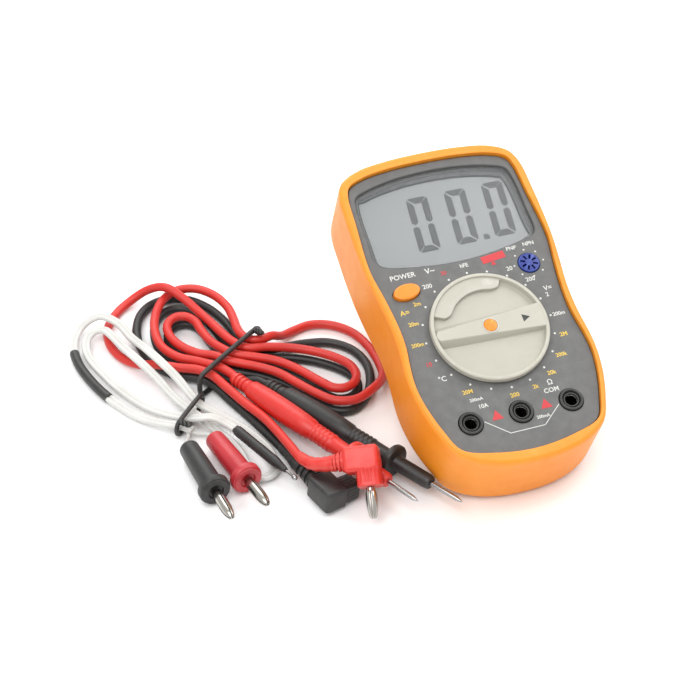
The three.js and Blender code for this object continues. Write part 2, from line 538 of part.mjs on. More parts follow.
// Raises a cable by the thickness of the tie where it passes through it.
const overTie = (points, { at, angle, halfWidth }) => points.map(([x, y, z]) => {
  const [dx, dy] = [x - at[0], y - at[1]];
  const across = dx * Math.cos(angle) + dy * Math.sin(angle);
  const along = dx * Math.sin(angle) - dy * Math.cos(angle);
  if (Math.abs(across) > halfWidth + 2 || Math.abs(along) > 13) return [x, y, z];
  return [x, y, z + (tieThickness + gap) * (1 - (along / 13) ** 2)];
});

const makeTestLeads = () => {
  makeProbe('black', [-25.4, -57.1, 6.9], [-71.7, 26, 5]);
  makeProbe('red', [-40.7, -53.4, 8.8], [-82.9, 31.7, 6.9]);
  makePlug('red', [-53.2, -35.7, 17.1], [0.924, -0.336, 0.184], [-0.171, -0.791, -0.586], 14);
  makePlug('black', [-67.6, -37.5, 5.5], [0.3, -0.95, 0], [0.93, 0.34, -0.128], 19);
  piece('red_cable', tube(overTie(redCable, leadTie), cableRadius, 8, 12), 'red', leads);
  piece('black_cable', tube(overTie(blackCable, leadTie), cableRadius, 8, 12), 'black', leads);
};

const makeTie = (name, { at, angle, halfWidth, high }) => {
  const low = tieThickness + 0.05;
  const loop = [[-halfWidth, low], [halfWidth, low], [halfWidth, high], [-halfWidth, high]];
  const outer = new THREE.Shape(loop.map(([u, v]) => new THREE.Vector2(
    u + Math.sign(u) * tieThickness, v + (v === low ? -tieThickness : tieThickness))));
  outer.holes.push(new THREE.Path(loop.map(([u, v]) => new THREE.Vector2(u, v))));
  const band = new THREE.ExtrudeGeometry(outer, { depth: 1.6, bevelEnabled: false });
  const mesh = piece(name, band.translate(0, 0, -0.8).rotateX(Math.PI / 2), 'black', leads);
  mesh.rotation.z = angle;
  mesh.position.set(...at, 0);
};

const makeThermocouple = () => {
  const bodyProfile = [[0, 0], [2.6, 0], [3.6, 1], [4.2, 23.4], [6, 24], [6, 26.4], [5.2, 27], [0, 27]];
  const pinProfile = [[0, 27.3], [2.1, 27.3], [2.1, 39], [1.2, 41.4], [0, 41.8]];
  const plugs = [
    ['black', [-108.6, 3, 4.6], [-105.4, -27, 6.5]],
    ['red', [-98.4, 4.6, 4.6], [-92.6, -25.6, 6.5]],
  ];
  plugs.forEach(([colour, rear, front]) => {
    const shade = colour === 'red' ? 'darkRed' : 'black';
    aim(piece(`thermo_plug_${colour}`, turned(bodyProfile, 16), shade, leads), rear, front);
    aim(piece(`thermo_pin_${colour}`, turned(pinProfile, 12), 'nickel', leads), rear, front);
  });
  const splits = [
    [[-105.6, 13.8, 2], [-103, 11.2, 2.2], [-100.4, 9, 3], [-98.7, 6, 4.4]],
    [[-105.6, 13.8, 2], [-106.6, 11, 2.2], [-108, 8, 3], [-108.5, 4.4, 4.4]],
  ];
  const wires = splits.map((points) => tube(points, wireRadius, 6, 3));
  piece('thermo_cable', build(tube(overTie(twinCable, thermoTie), twinRadius, 8, 8), wires, []), 'white', leads);
  const sleeve = turned([[0, 0.3], [1.9, 0.3], [2, 2], [2, 24], [0.9, 30], [0, 30]], 12);
  aim(piece('thermo_sleeve', sleeve, 'black', leads), [-89.4, 6.6, 4.4], [-80.2, -18.6, 6.2]);
  const bead = turned([[0, 30.3], [0.5, 30.3], [0.5, 34], [1, 35], [0.6, 36.2], [0, 36.2]], 8);
  aim(piece('thermo_bead', bead, 'steel', leads), [-89.4, 6.6, 4.4], [-80.2, -18.6, 6.2]);
};

makeHolster();
makeFrontCase();
makeRearCase();
makeFasteners();
makeBatteryBay();
makeDisplay();
makeBoard();
makeKnob();
makePowerSwitch();
makeSocket();
makeJacks();
makeStand();
makeTestLeads();
makeTie('lead_tie', leadTie);
makeTie('thermo_tie', thermoTie);
makeThermocouple();

// The meter leans back on its stand with the middle of its footprint at the origin.
meter.rotation.x = tilt;
meter.updateMatrixWorld(true);
const bounds = new THREE.Box3().setFromObject(meter, true);
meter.position.set(0, -(bounds.min.y + bounds.max.y) / 2, lift);

// The leads' places are counted from a point 14.5 mm in front of the dial's foot.
leads.position.y = meter.position.y + 14.5;

export default root;
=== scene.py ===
import json
import math

import bpy
import numpy as np
from mathutils import Matrix, Vector


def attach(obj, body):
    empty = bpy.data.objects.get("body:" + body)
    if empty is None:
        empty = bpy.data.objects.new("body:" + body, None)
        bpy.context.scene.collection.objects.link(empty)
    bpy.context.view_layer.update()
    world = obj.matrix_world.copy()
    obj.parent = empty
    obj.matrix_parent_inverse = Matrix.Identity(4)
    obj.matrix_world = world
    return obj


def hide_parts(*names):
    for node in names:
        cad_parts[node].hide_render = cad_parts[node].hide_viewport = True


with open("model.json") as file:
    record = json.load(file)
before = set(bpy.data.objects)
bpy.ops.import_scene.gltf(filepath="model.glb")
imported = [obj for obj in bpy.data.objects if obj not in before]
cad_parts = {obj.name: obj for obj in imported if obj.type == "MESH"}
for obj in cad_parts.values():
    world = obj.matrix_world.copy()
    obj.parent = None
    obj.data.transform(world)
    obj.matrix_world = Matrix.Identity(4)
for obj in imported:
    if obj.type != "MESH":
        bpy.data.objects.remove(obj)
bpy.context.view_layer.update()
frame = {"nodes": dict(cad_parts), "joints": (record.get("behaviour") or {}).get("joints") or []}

print("frame loaded:", len(frame["nodes"]), "nodes")

# places: the meter is modelled lying flat, in millimetres, with its dial at the origin
millimetre = Matrix.Diagonal((0.001, 0.001, 0.001, 1))
dialJoint = next(joint for joint in frame["joints"] if joint["name"] == "knob_turn")
dialCentre = Vector(dialJoint["pos_m"])
dialAxis = Vector(dialJoint["axis"])
panelTilt = math.atan2(-dialAxis.y, dialAxis.z)
meterSpace = Matrix.Translation(dialCentre) @ Matrix.Rotation(panelTilt, 4, "X") @ millimetre
leadsAhead = 0.0145  # metres from the dial's middle to where the leads are measured from
leadsSpace = Matrix.Translation((0, dialCentre.y + leadsAhead, 0)) @ millimetre

cameraSetup = {
    "place": (-0.2174, -0.48667, 0.48735), "right": (0.94606, -0.32398, 0),
    "up": (0.21233, 0.61985, 0.75544), "lens": 100.6, "sensor": 36,
}


def makeCamera(setup):
    right, up = Vector(setup["right"]).normalized(), Vector(setup["up"]).normalized()
    lens = bpy.data.cameras.new("camera")
    lens.lens, lens.sensor_width = setup["lens"], setup["sensor"]
    lens.clip_start, lens.clip_end = 0.01, 20
    camera = bpy.data.objects.new("camera", lens)
    facing = Matrix((right, up, right.cross(up))).transposed().to_4x4()
    camera.matrix_world = Matrix.Translation(setup["place"]) @ facing
    bpy.context.scene.collection.objects.link(camera)
    bpy.context.scene.camera = camera


makeCamera(cameraSetup)


# finishes
studioGain = 0.8  # the studio is brighter than daylight, so every colour is mixed a little darker


def tint(red, green, blue):
    values = [value / 255 for value in (red, green, blue)]
    linear = [v / 12.92 if v < 0.04 else ((v + 0.055) / 1.055) ** 2.4 for v in values]
    return tuple(studioGain * v for v in linear) + (1,)


class Wire:  # a socket that can be reckoned with
    def __init__(self, finish, socket):
        self.finish, self.socket = finish, socket

    def combine(self, operation, first, second):
        return self.finish.node("ShaderNodeMath", {"operation": operation}, {0: first, 1: second})

    def __add__(self, other):
        return self.combine("ADD", self, other)

    def __sub__(self, other):
        return self.combine("SUBTRACT", self, other)

    def __rsub__(self, other):
        return self.combine("SUBTRACT", other, self)

    def __mul__(self, other):
        return self.combine("MULTIPLY", self, other)

    def __gt__(self, other):
        return self.combine("GREATER_THAN", self, other)

    __radd__ = __add__
    __rmul__ = __mul__


class Finish:
    def __init__(self, name, slot):
        self.material = bpy.data.materials.new(name)
        self.material.use_nodes = True
        self.tree = self.material.node_tree
        self.shader = self.tree.nodes["Principled BSDF"]
        self.slot = slot
        self.coords = self.node("ShaderNodeTexCoord", output="Object")

    def node(self, kind, settings=None, inputs=None, output=0):
        made = self.tree.nodes.new(kind)
        for key, value in (settings or {}).items():
            if key == "stops":
                for element, (spot, shade) in zip(made.color_ramp.elements, value):
                    element.position, element.color = spot, (shade, shade, shade, 1)
            else:
                setattr(made, key, value)
        for key, value in (inputs or {}).items():
            self.feed(made.inputs[key], value)
        return Wire(self, made.outputs[output])

    def feed(self, socket, value):
        if isinstance(value, Wire):
            self.tree.links.new(value.socket, socket)
        else:
            socket.default_value = value

    def noise(self, scale, detail=3, roughness=0.5, vector=None):
        return self.node("ShaderNodeTexNoise", {}, {
            "Vector": vector or self.coords, "Scale": scale, "Detail": detail, "Roughness": roughness})

    def ramp(self, value, low, high):
        return self.node("ShaderNodeValToRGB", {"stops": [(low, 0), (high, 1)]}, {0: value})

    def mix(self, factor, first, second):
        return self.node("ShaderNodeMix", {"data_type": "RGBA"}, {0: factor, 6: first, 7: second}, output=2)

    def shade(self, **sockets):
        for key, value in sockets.items():
            self.feed(self.shader.inputs[key.replace("_", " ")], value)


def moulded(name, slot, look):
    finish = Finish(name, slot)
    patches = finish.noise(look.get("patch", 45), 4, 0.6)
    grain = finish.noise(look.get("grain", 2200), 3, 0.6)
    smudges = finish.ramp(finish.noise(look.get("patch", 45) * 4, 5, 0.65), 0.45, 0.75)
    colour = finish.mix(finish.ramp(patches, 0.3, 0.7), tint(*look["colour"]), tint(*look["shade"]))
    colour = finish.mix(smudges * look.get("dirt", 0.18), colour, tint(*look.get("dust", look["shade"])))
    if "wear" in look:
        edges = finish.node("ShaderNodeNewGeometry", output="Pointiness")
        rubbed = finish.ramp(edges, 0.51, 0.58) * finish.ramp(finish.noise(300, 4), 0.35, 0.65)
        colour = finish.mix(rubbed * look.get("rub", 0.5), colour, tint(*look["wear"]))
    uneven = (patches - 0.5) * 0.14 + (grain - 0.5) * 0.1 + smudges * 0.07
    roughness = uneven + look.get("roughness", 0.5)
    finish.shade(Base_Color=colour, Roughness=roughness, Metallic=look.get("metal", 0))
    finish.shade(Normal=finish.node("ShaderNodeBump", {}, {
        "Strength": look.get("bump", 0.35), "Distance": look.get("depth", 0.00012), "Height": grain}))
    if "coat" in look:
        finish.shade(Coat_Weight=look["coat"], Coat_Roughness=look.get("coatRoughness", 0.2))
    if "alpha" in look:
        finish.shade(Alpha=look["alpha"])
        finish.material.surface_render_method = "BLENDED"
    return finish


finishLooks = {
    "orangeRubber": ("orange_rubber", {
        "colour": (252, 154, 28), "shade": (249, 145, 20), "roughness": 0.44, "grain": 1500, "depth": 0.00018,
        "bump": 0.4, "dirt": 0.1, "dust": (228, 138, 44), "wear": (255, 188, 90), "rub": 0.4}),
    "orangePlastic": ("orange_plastic", {
        "colour": (250, 146, 30), "shade": (244, 136, 24), "dirt": 0.08, "roughness": 0.38,
        "wear": (255, 196, 110)}),
    "greyPlastic": ("grey_plastic", {
        "colour": (101, 101, 100), "shade": (97, 97, 96), "roughness": 0.5, "grain": 1900, "depth": 0.0002,
        "bump": 0.5, "dust": (116, 115, 112), "dirt": 0.1, "wear": (136, 136, 133), "rub": 0.3}),
    "puttyPlastic": ("putty_plastic", {
        "colour": (193, 190, 176), "shade": (187, 184, 170), "roughness": 0.4, "dirt": 0.1,
        "dust": (172, 168, 152), "wear": (224, 223, 212)}),
    "whitePlastic": ("white_plastic", {
        "colour": (232, 231, 224), "shade": (222, 221, 213), "roughness": 0.45}),
    "blackPlastic": ("black_plastic", {
        "colour": (38, 38, 37), "shade": (30, 30, 30), "roughness": 0.42, "dust": (92, 90, 86), "dirt": 0.16,
        "wear": (90, 90, 88), "rub": 0.35}),
    "bluePlastic": ("blue_plastic", {
        "colour": (34, 58, 150), "shade": (28, 50, 136), "roughness": 0.35, "wear": (96, 120, 205)}),
    "redPlastic": ("red_plastic", {
        "colour": (226, 48, 38), "shade": (214, 38, 32), "roughness": 0.36, "dust": (190, 60, 52),
        "wear": (240, 104, 92)}),
    "darkRedPlastic": ("dark_red_plastic", {
        "colour": (200, 44, 52), "shade": (184, 36, 46), "roughness": 0.34, "wear": (226, 100, 104)}),
    "redRubber": ("red_rubber", {
        "colour": (226, 52, 40), "shade": (212, 42, 34), "roughness": 0.42, "dust": (196, 72, 62)}),
    "blackRubber": ("black_rubber", {
        "colour": (40, 40, 39), "shade": (31, 31, 31), "roughness": 0.44, "dust": (96, 94, 90)}),
    "whiteCable": ("white_cable", {
        "colour": (226, 226, 222), "shade": (212, 211, 206), "roughness": 0.42, "dust": (196, 193, 184)}),
    "windowGlass": ("window", {
        "colour": (205, 210, 212), "shade": (200, 205, 208), "roughness": 0.06, "bump": 0.02, "alpha": 0.06,
        "dirt": 0}),
    "displayGlass": ("display", {
        "colour": (148, 151, 151), "shade": (142, 145, 145), "roughness": 0.3, "bump": 0.04, "dirt": 0.05,
        "dust": (150, 152, 150), "patch": 22}),
    "digitInk": ("display", {
        "colour": (68, 70, 70), "shade": (64, 66, 66), "dirt": 0.05, "roughness": 0.35, "bump": 0.02}),
    "nickel": ("nickel", {
        "colour": (206, 203, 196), "shade": (190, 186, 178), "roughness": 0.2, "metal": 1, "bump": 0.08,
        "dust": (140, 132, 118)}),
    "steel": ("steel", {
        "colour": (190, 190, 190), "shade": (170, 170, 170), "roughness": 0.24, "metal": 1, "bump": 0.08,
        "dust": (120, 116, 110)}),
    "brass": ("brass", {
        "colour": (214, 178, 96), "shade": (196, 158, 80), "roughness": 0.28, "metal": 1, "bump": 0.1,
        "dust": (130, 100, 56)}),
    "boardGreen": ("board", {
        "colour": (40, 104, 66), "shade": (32, 88, 56), "roughness": 0.4, "grain": 900}),
    "fuseGlass": ("fuse_glass", {
        "colour": (200, 208, 210), "shade": (190, 200, 202), "roughness": 0.08, "alpha": 0.35, "bump": 0.02}),
    "batteryCan": ("battery_can", {
        "colour": (70, 74, 88), "shade": (60, 64, 78), "roughness": 0.3, "metal": 0.7, "bump": 0.1}),
    "whitePrint": ("white_plastic", {
        "colour": (228, 228, 222), "shade": (214, 214, 208), "roughness": 0.5, "bump": 0.1}),
    "yellowPrint": ("orange_plastic", {
        "colour": (244, 208, 92), "shade": (232, 192, 76), "roughness": 0.5, "bump": 0.1}),
    "greyShell": ("grey_plastic", {
        "colour": (101, 101, 100), "shade": (97, 97, 96), "roughness": 0.5, "grain": 1900, "dirt": 0.1}),
    "blackShell": ("black_plastic", {
        "colour": (38, 38, 37), "shade": (30, 30, 30), "roughness": 0.42, "dirt": 0.12}),
    # dark grey of the display's bezel ring; where the ring widens it is painted shade of the recess wall
    "bezelAndShadePlastic": ("grey_plastic", {
        "colour": (72, 74, 74), "shade": (66, 68, 68), "roughness": 0.25, "bump": 0.1, "dirt": 0.06}),
    "pinkPrint": ("red_plastic", {
        "colour": (214, 62, 66), "shade": (204, 52, 58), "roughness": 0.5, "bump": 0.1}),
}
finishes = {name: moulded(name, slot, look) for name, (slot, look) in finishLooks.items()}
print("finishes made:", len(finishes))


# shaping helpers
def clearSelection():
    if bpy.context.mode != "OBJECT":
        bpy.ops.object.mode_set(mode="OBJECT")
    bpy.ops.object.select_all(action="DESELECT")


def choose(*objects):
    clearSelection()
    for obj in objects:
        obj.select_set(True)
    bpy.context.view_layer.objects.active = objects[0]
    return objects[0]


def justAdded(name):
    obj = bpy.context.active_object
    obj.name = obj.data.name = name
    return obj


def smoothPath(points, closed=False, count=None, spacing=1.5, fine=24):
    rows = np.array(points, float)
    if closed:
        before, start, end, after = np.roll(rows, 1, 0), rows, np.roll(rows, -1, 0), np.roll(rows, -2, 0)
    else:
        longer = np.vstack([2 * rows[0] - rows[1], rows, 2 * rows[-1] - rows[-2]])
        before, start, end, after = longer[:-3], longer[1:-2], longer[2:-1], longer[3:]
    near, here, far = (np.linalg.norm(b - a, axis=1, keepdims=True) ** 0.5
                       for a, b in ((before, start), (start, end), (end, after)))
    leave = ((start - before) / near - (end - before) / (near + here) + (end - start) / here) * here
    arrive = ((end - start) / here - (after - start) / (here + far) + (after - end) / far) * here
    t = np.linspace(0, 1, fine, endpoint=False)[:, None, None]
    dense = (start * (2 * t**3 - 3 * t**2 + 1) + leave * (t**3 - 2 * t**2 + t)
             + end * (3 * t**2 - 2 * t**3) + arrive * (t**3 - t**2))
    dense = dense.transpose(1, 0, 2).reshape(-1, rows.shape[1])
    dense = np.vstack([dense, rows[:1] if closed else rows[-1:]])
    travelled = np.concatenate([[0], np.cumsum(np.linalg.norm(np.diff(dense, axis=0), axis=1))])
    count = count or max(4, round(travelled[-1] / spacing))
    marks = np.linspace(0, travelled[-1], count + 1)
    marks = marks[:-1] if closed else marks
    return np.column_stack([np.interp(marks, travelled, dense[:, i]) for i in range(rows.shape[1])])


def inward(loop, inset):  # a flat clockwise loop moved towards its middle
    along = np.roll(loop, -1, 0) - np.roll(loop, 1, 0)
    along /= np.linalg.norm(along, axis=1, keepdims=True)
    return loop + inset * np.column_stack([along[:, 1], -along[:, 0]])


def atHeight(loop, height):
    return np.column_stack([loop, np.full(len(loop), float(height))])


def symmetricLoop(half, count=160):
    return smoothPath(list(half) + [(-x, y) for x, y in reversed(half[1:-1])], closed=True, count=count)


def closeUp(obj):
    choose(obj)
    bpy.ops.object.mode_set(mode="EDIT")
    bpy.ops.mesh.select_all(action="SELECT")
    bpy.ops.mesh.remove_doubles(threshold=0.0005)
    bpy.ops.mesh.normals_make_consistent(inside=False)
    bpy.ops.object.mode_set(mode="OBJECT")
    return obj


def loft(name, loops, hollow=False):
    count = len(loops[0])
    clearSelection()
    bpy.ops.mesh.primitive_circle_add(vertices=count, radius=1, fill_type="NOTHING" if hollow else "NGON")
    obj = justAdded(name)
    bpy.ops.object.mode_set(mode="EDIT")
    bpy.ops.mesh.select_all(action="SELECT")
    for _ in loops[1:]:
        bpy.ops.mesh.extrude_region_move(TRANSFORM_OT_translate={"value": (0, 0, 1)})
    bpy.ops.object.mode_set(mode="OBJECT")
    spots = np.empty(len(obj.data.vertices) * 3)
    obj.data.vertices.foreach_get("co", spots)
    spots = spots.reshape(-1, 3)
    ring = np.rint(spots[:, 2]).astype(int)
    turn = np.rint(np.arctan2(-spots[:, 0], spots[:, 1]) * count / (2 * math.pi)).astype(int) % count
    obj.data.vertices.foreach_set("co", np.array(loops, float)[ring, turn].ravel())
    obj.data.update()
    return closeUp(obj)


def turned(name, profile, sides=32, hollow=False):  # rows of radius and height, raised ring by ring
    radius, height = max(profile[0][0], 0.02), profile[0][1]
    clearSelection()
    bpy.ops.mesh.primitive_circle_add(
        vertices=sides, radius=radius, fill_type="NOTHING" if hollow else "NGON", location=(0, 0, height))
    obj = justAdded(name)
    bpy.ops.object.transform_apply(location=True, rotation=False, scale=False)
    bpy.ops.object.mode_set(mode="EDIT")
    bpy.ops.mesh.select_all(action="SELECT")
    for nextRadius, nextHeight in profile[1:]:
        nextRadius = max(nextRadius, 0.02)
        bpy.ops.mesh.extrude_region_move(TRANSFORM_OT_translate={"value": (0, 0, nextHeight - height)})
        grow = nextRadius / radius
        bpy.ops.transform.resize(value=(grow, grow, 1), center_override=(0, 0, nextHeight))
        radius, height = nextRadius, nextHeight
    bpy.ops.object.mode_set(mode="OBJECT")
    return closeUp(obj)


def applyModifier(obj, kind, **settings):
    modifier = obj.modifiers.new(kind.lower(), kind)
    for key, value in settings.items():
        setattr(modifier, key, value)
    choose(obj)
    bpy.ops.object.modifier_apply(modifier=modifier.name)
    return obj


def soften(obj, width, segments=3, angle=40):
    return applyModifier(obj, "BEVEL", width=width, segments=segments, limit_method="ANGLE",
                         angle_limit=math.radians(angle), use_clamp_overlap=True)


def combine(obj, operation, others):
    for other in others:
        applyModifier(obj, "BOOLEAN", object=other, operation=operation, solver="EXACT")
        bpy.data.objects.remove(other)
    return obj


def smoothShade(obj, angle=32):
    choose(obj)
    bpy.ops.object.shade_smooth_by_angle(angle=math.radians(angle))
    return obj


def evenNormals(obj):  # keeps big flat faces free of streaks after a cut
    return applyModifier(obj, "WEIGHTED_NORMAL", keep_sharp=True, weight=100)


def plate(name, outline, low, high, edge=0.0, segments=2):
    flat = np.array(outline, float)
    obj = loft(name, [atHeight(flat, low), atHeight(flat, high)])
    return soften(obj, edge, segments) if edge else obj


def block(name, size, middle, edge=0.0, segments=3):
    clearSelection()
    bpy.ops.mesh.primitive_cube_add(size=1, location=middle)
    obj = justAdded(name)
    obj.scale = size
    bpy.ops.object.transform_apply(location=True, rotation=True, scale=True)
    return soften(obj, edge, segments) if edge else obj


def post(name, radius, low, high, x=0, y=0, sides=32):
    clearSelection()
    bpy.ops.mesh.primitive_cylinder_add(vertices=sides, radius=radius, depth=high - low,
        location=(x, y, (low + high) / 2))
    obj = justAdded(name)
    bpy.ops.object.transform_apply(location=True, rotation=True, scale=True)
    return obj


def copied(obj, name, matrix):
    twin = obj.copy()
    twin.data = obj.data.copy()
    twin.name = twin.data.name = name
    bpy.context.scene.collection.objects.link(twin)
    twin.data.transform(matrix)
    return twin


def joined(name, objects):
    obj = choose(*objects)
    bpy.ops.object.join()
    obj.name = obj.data.name = name
    return obj


def moved(obj, matrix):
    obj.data.transform(matrix)
    obj.data.update()
    return obj


def settle(obj, body, finishName, replaced=(), space=meterSpace, smooth=32):
    if obj.type == "MESH":
        moved(obj, space)
        smoothShade(obj, smooth)
    obj.data.materials.clear()
    obj.data.materials.append(finishes[finishName].material)
    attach(obj, body)
    if replaced:
        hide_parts(*replaced)
    return obj


def aimed(start, end):
    along = (Vector(end) - Vector(start)).normalized()
    return Matrix.Translation(start) @ Vector((0, 0, 1)).rotation_difference(along).to_matrix().to_4x4()


def ringOf(radiusX, radiusY, count, turn=0.0, middle=(0, 0)):
    angles = -np.arange(count) * 2 * math.pi / count
    x, y = radiusX * np.cos(angles), radiusY * np.sin(angles)
    return np.column_stack([
        middle[0] + x * math.cos(turn) - y * math.sin(turn),
        middle[1] + x * math.sin(turn) + y * math.cos(turn)])


# the cords
leadTie = {"at": (-81.2, 42.2), "angle": math.atan2(0.578, 0.816), "halfWidth": 18.2, "high": 10.8}
thermoTie = {"at": (-103.3, 20.5), "angle": math.atan2(0.714, 0.7), "halfWidth": 9.8, "high": 6.6}
tieLift = {"height": 1.3, "reach": 13, "margin": 2}


def overTie(points, tie):  # the stretch that the tie holds rides over its lower strand
    raised = []
    for x, y, z in points:
        dx, dy = x - tie["at"][0], y - tie["at"][1]
        across = dx * math.cos(tie["angle"]) + dy * math.sin(tie["angle"])
        along = dx * math.sin(tie["angle"]) - dy * math.cos(tie["angle"])
        if abs(across) <= tie["halfWidth"] + tieLift["margin"] and abs(along) <= tieLift["reach"]:
            z += tieLift["height"] * (1 - (along / tieLift["reach"]) ** 2)
        raised.append((x, y, z))
    return raised


blackCable = [
    (-73.7, -18.3, 5.3), (-74.3, -12.6, 4), (-75.8, -5, 2.2), (-79, 5, 2.2), (-82.5, 15, 2.2),
    (-86.5, 25, 2.2), (-89, 31, 2.2), (-91, 35.3, 2.2), (-94.8, 40, 2.2), (-100.5, 44.4, 2.2),
    (-106, 50, 2.2), (-109.6, 58, 2.2), (-110.8, 67, 2.2), (-109.6, 76, 2.2), (-106, 84, 2.2),
    (-100, 89.2, 2.2), (-92.5, 90.2, 2.2), (-85.4, 87, 2.2), (-79.8, 80.4, 2.2), (-76, 71.5, 2.2),
    (-74, 62, 2.2), (-73.2, 54.5, 2.2), (-71, 49, 2.2), (-67.4, 47.7, 2.2), (-61, 46.8, 2.2), (-50, 47, 2.2),
    (-40.5, 44.4, 2.2), (-33.8, 38, 2.2), (-31, 28, 2.2), (-33, 18, 2.2), (-38.2, 9.4, 2.2),
    (-44.8, 5.4, 2.2), (-50.6, 7, 2.2), (-54.9, 12.8, 2.2), (-59.8, 21.2, 2.2), (-65.6, 28.6, 2.2),
    (-71.8, 34.4, 2.2), (-78.8, 37.6, 2.2), (-82.8, 41, 2.2), (-86.6, 46, 2.2), (-92, 51.4, 2.2),
    (-97, 57.6, 2.2), (-99.5, 63.4, 2.2), (-98.8, 68.9, 2.2), (-95.6, 72.9, 2.2), (-91, 73.4, 2.2),
    (-87.4, 70.6, 2.2), (-85.6, 66, 2.2), (-84.4, 59.4, 2.2), (-82.6, 51, 2.2), (-78.8, 43.6, 2.2),
    (-74.4, 40, 2.2), (-68.6, 38.8, 2.2), (-64, 35.8, 2.2), (-59.6, 30.6, 2.2), (-55.4, 25.4, 2.2),
    (-52.2, 20.6, 2.2), (-50.6, 15.6, 2.2), (-47, 12.4, 2.2), (-42.6, 12.3, 2.2), (-39.2, 15, 2.2),
    (-37.8, 19.2, 2.2), (-38.7, 23.6, 2.2), (-42.6, 29.6, 2.2), (-50.4, 36.6, 2.2), (-60, 41.6, 2.2),
    (-67.4, 43.1, 2.2), (-73.4, 45, 2.2), (-77.4, 50.8, 2.2), (-79.4, 60, 2.2), (-81.4, 69.6, 2.2),
    (-84.8, 78, 2.2), (-89.8, 83, 2.2), (-96, 83, 2.2), (-101, 78.4, 2.2), (-103.9, 70, 2.2),
    (-104, 61, 2.2), (-101, 53.4, 2.2), (-96, 47.4, 2.2), (-90.6, 43, 2.2), (-86.6, 38.2, 2.2),
    (-82.6, 34, 2.3), (-78, 32.3, 3), (-74.2, 30.1, 4.6), (-72.1, 26.9, 5),
]
redCable = [
    (-67, -30.4, 14.2), (-70.8, -27.6, 13), (-73.6, -21, 11.2), (-74.6, -12, 9), (-76, -2, 7.2),
    (-78.6, 8, 6.6), (-83, 18, 6.6), (-87, 27.4, 6.5), (-90.6, 35.3, 6.5), (-94.6, 40, 6.5),
    (-101, 44.6, 6.5), (-108, 49.4, 6), (-114.6, 55, 3.4), (-119.6, 63, 2.2), (-121.6, 72, 2.2),
    (-119.8, 81, 2.2), (-114.6, 88.4, 2.2), (-107.6, 93, 3.2), (-100.4, 92.4, 7.4), (-94.4, 87.6, 10.8),
    (-89, 81, 9), (-85, 74, 6.8), (-82, 66, 6.5), (-79.6, 58, 6.5), (-77.2, 50.6, 6.5), (-73.2, 45.6, 6.5),
    (-66, 44.2, 6.5), (-57, 41.6, 6.5), (-49.8, 37.2, 6.5), (-42.8, 31, 6.5), (-38.7, 24.8, 6.5),
    (-38.2, 19.4, 6.5), (-40.3, 15.2, 6.5), (-44.4, 13.4, 6.5), (-48.6, 14.6, 6.5), (-51.4, 18.2, 6.5),
    (-54.2, 22.6, 6.5), (-58.2, 29, 6.5), (-64.2, 36, 6.5), (-71.6, 39.9, 6.5), (-78.8, 43.7, 6.5),
    (-82.6, 49, 6.5), (-85.4, 56, 6.5), (-86.9, 63, 6.5), (-87.7, 68.9, 6.5), (-90.6, 72.9, 6.5),
    (-95, 73.4, 6.5), (-98.5, 70, 6.5), (-99.3, 64.4, 6.5), (-97.4, 57.4, 6.5), (-92, 50.4, 6.5),
    (-86.2, 45.6, 6.5), (-82.4, 41, 6.5), (-78, 38, 6.5), (-72, 34.8, 6.5), (-66, 29.6, 6.5),
    (-61, 21.8, 6.5), (-55.9, 14, 6.5), (-50.6, 8, 6.5), (-43, 6, 6.5), (-35.2, 9.4, 6.5),
    (-28.6, 16.6, 4.4), (-26.2, 27, 2.2), (-27, 38, 2.2), (-30.6, 48, 2.2), (-37.2, 54.6, 2.2),
    (-44.4, 57, 2.2), (-51.2, 55.8, 2.2), (-57.2, 52.8, 3.6), (-62.2, 50.2, 6), (-66.5, 48.7, 6.6),
    (-70.4, 49.6, 6.6), (-72.9, 53.4, 6.5), (-73.5, 58.4, 6.5), (-73, 65, 6.5), (-73.2, 73, 6.5),
    (-76.4, 82, 6.5), (-82.4, 88.2, 6.5), (-89.6, 89.4, 6.5), (-96, 85.6, 6.5), (-101, 78, 6.5),
    (-104, 68.4, 6.5), (-103.8, 58.4, 6.5), (-99.6, 50.6, 6.5), (-94, 45.8, 6.5), (-90, 41.8, 6.5),
    (-86.1, 37.4, 6.9), (-82.9, 32.4, 6.9),
]
twinCable = [
    (-104.4, 12.6, 2), (-107.7, 16, 2), (-113, 19.4, 2), (-120, 26, 2), (-127.5, 37.5, 2), (-133, 51, 2),
    (-135.8, 65, 2), (-134.5, 77, 2), (-129, 84, 3.4), (-122, 83.4, 6.4), (-116.6, 77, 6.6),
    (-113.6, 67, 6.4), (-110.6, 56, 9.2), (-107.6, 46, 10.4), (-103.6, 38, 8), (-100.6, 31, 4),
    (-98, 25.4, 2), (-94, 20, 2), (-88.8, 13.4, 2), (-84, 4.6, 2), (-80.7, -5, 2), (-80.4, -12.4, 2),
    (-81.8, -16.4, 2), (-85.2, -18.2, 2), (-88.7, -16.6, 2), (-90.3, -12.4, 2), (-91, -3, 2), (-92.6, 4, 2),
    (-95.8, 10.6, 2), (-98.6, 16.4, 2), (-101.8, 22, 2), (-105.9, 31, 3), (-111, 42.6, 7), (-115.4, 53, 8.2),
    (-118, 62, 6.8), (-120.6, 70.6, 6.6), (-122.4, 75, 6.2), (-126, 76.9, 5), (-129.6, 75, 3.4),
    (-131, 70.6, 2.3), (-130.8, 65, 2), (-128.4, 56, 2), (-124, 44, 2), (-118, 33, 2), (-111, 24.5, 2),
    (-104.8, 19, 2.6), (-100.8, 15, 5.2), (-97.6, 13.8, 6.1), (-94.6, 12.4, 5.8), (-91.6, 10, 4.8),
    (-89.7, 7.3, 4.4),
]


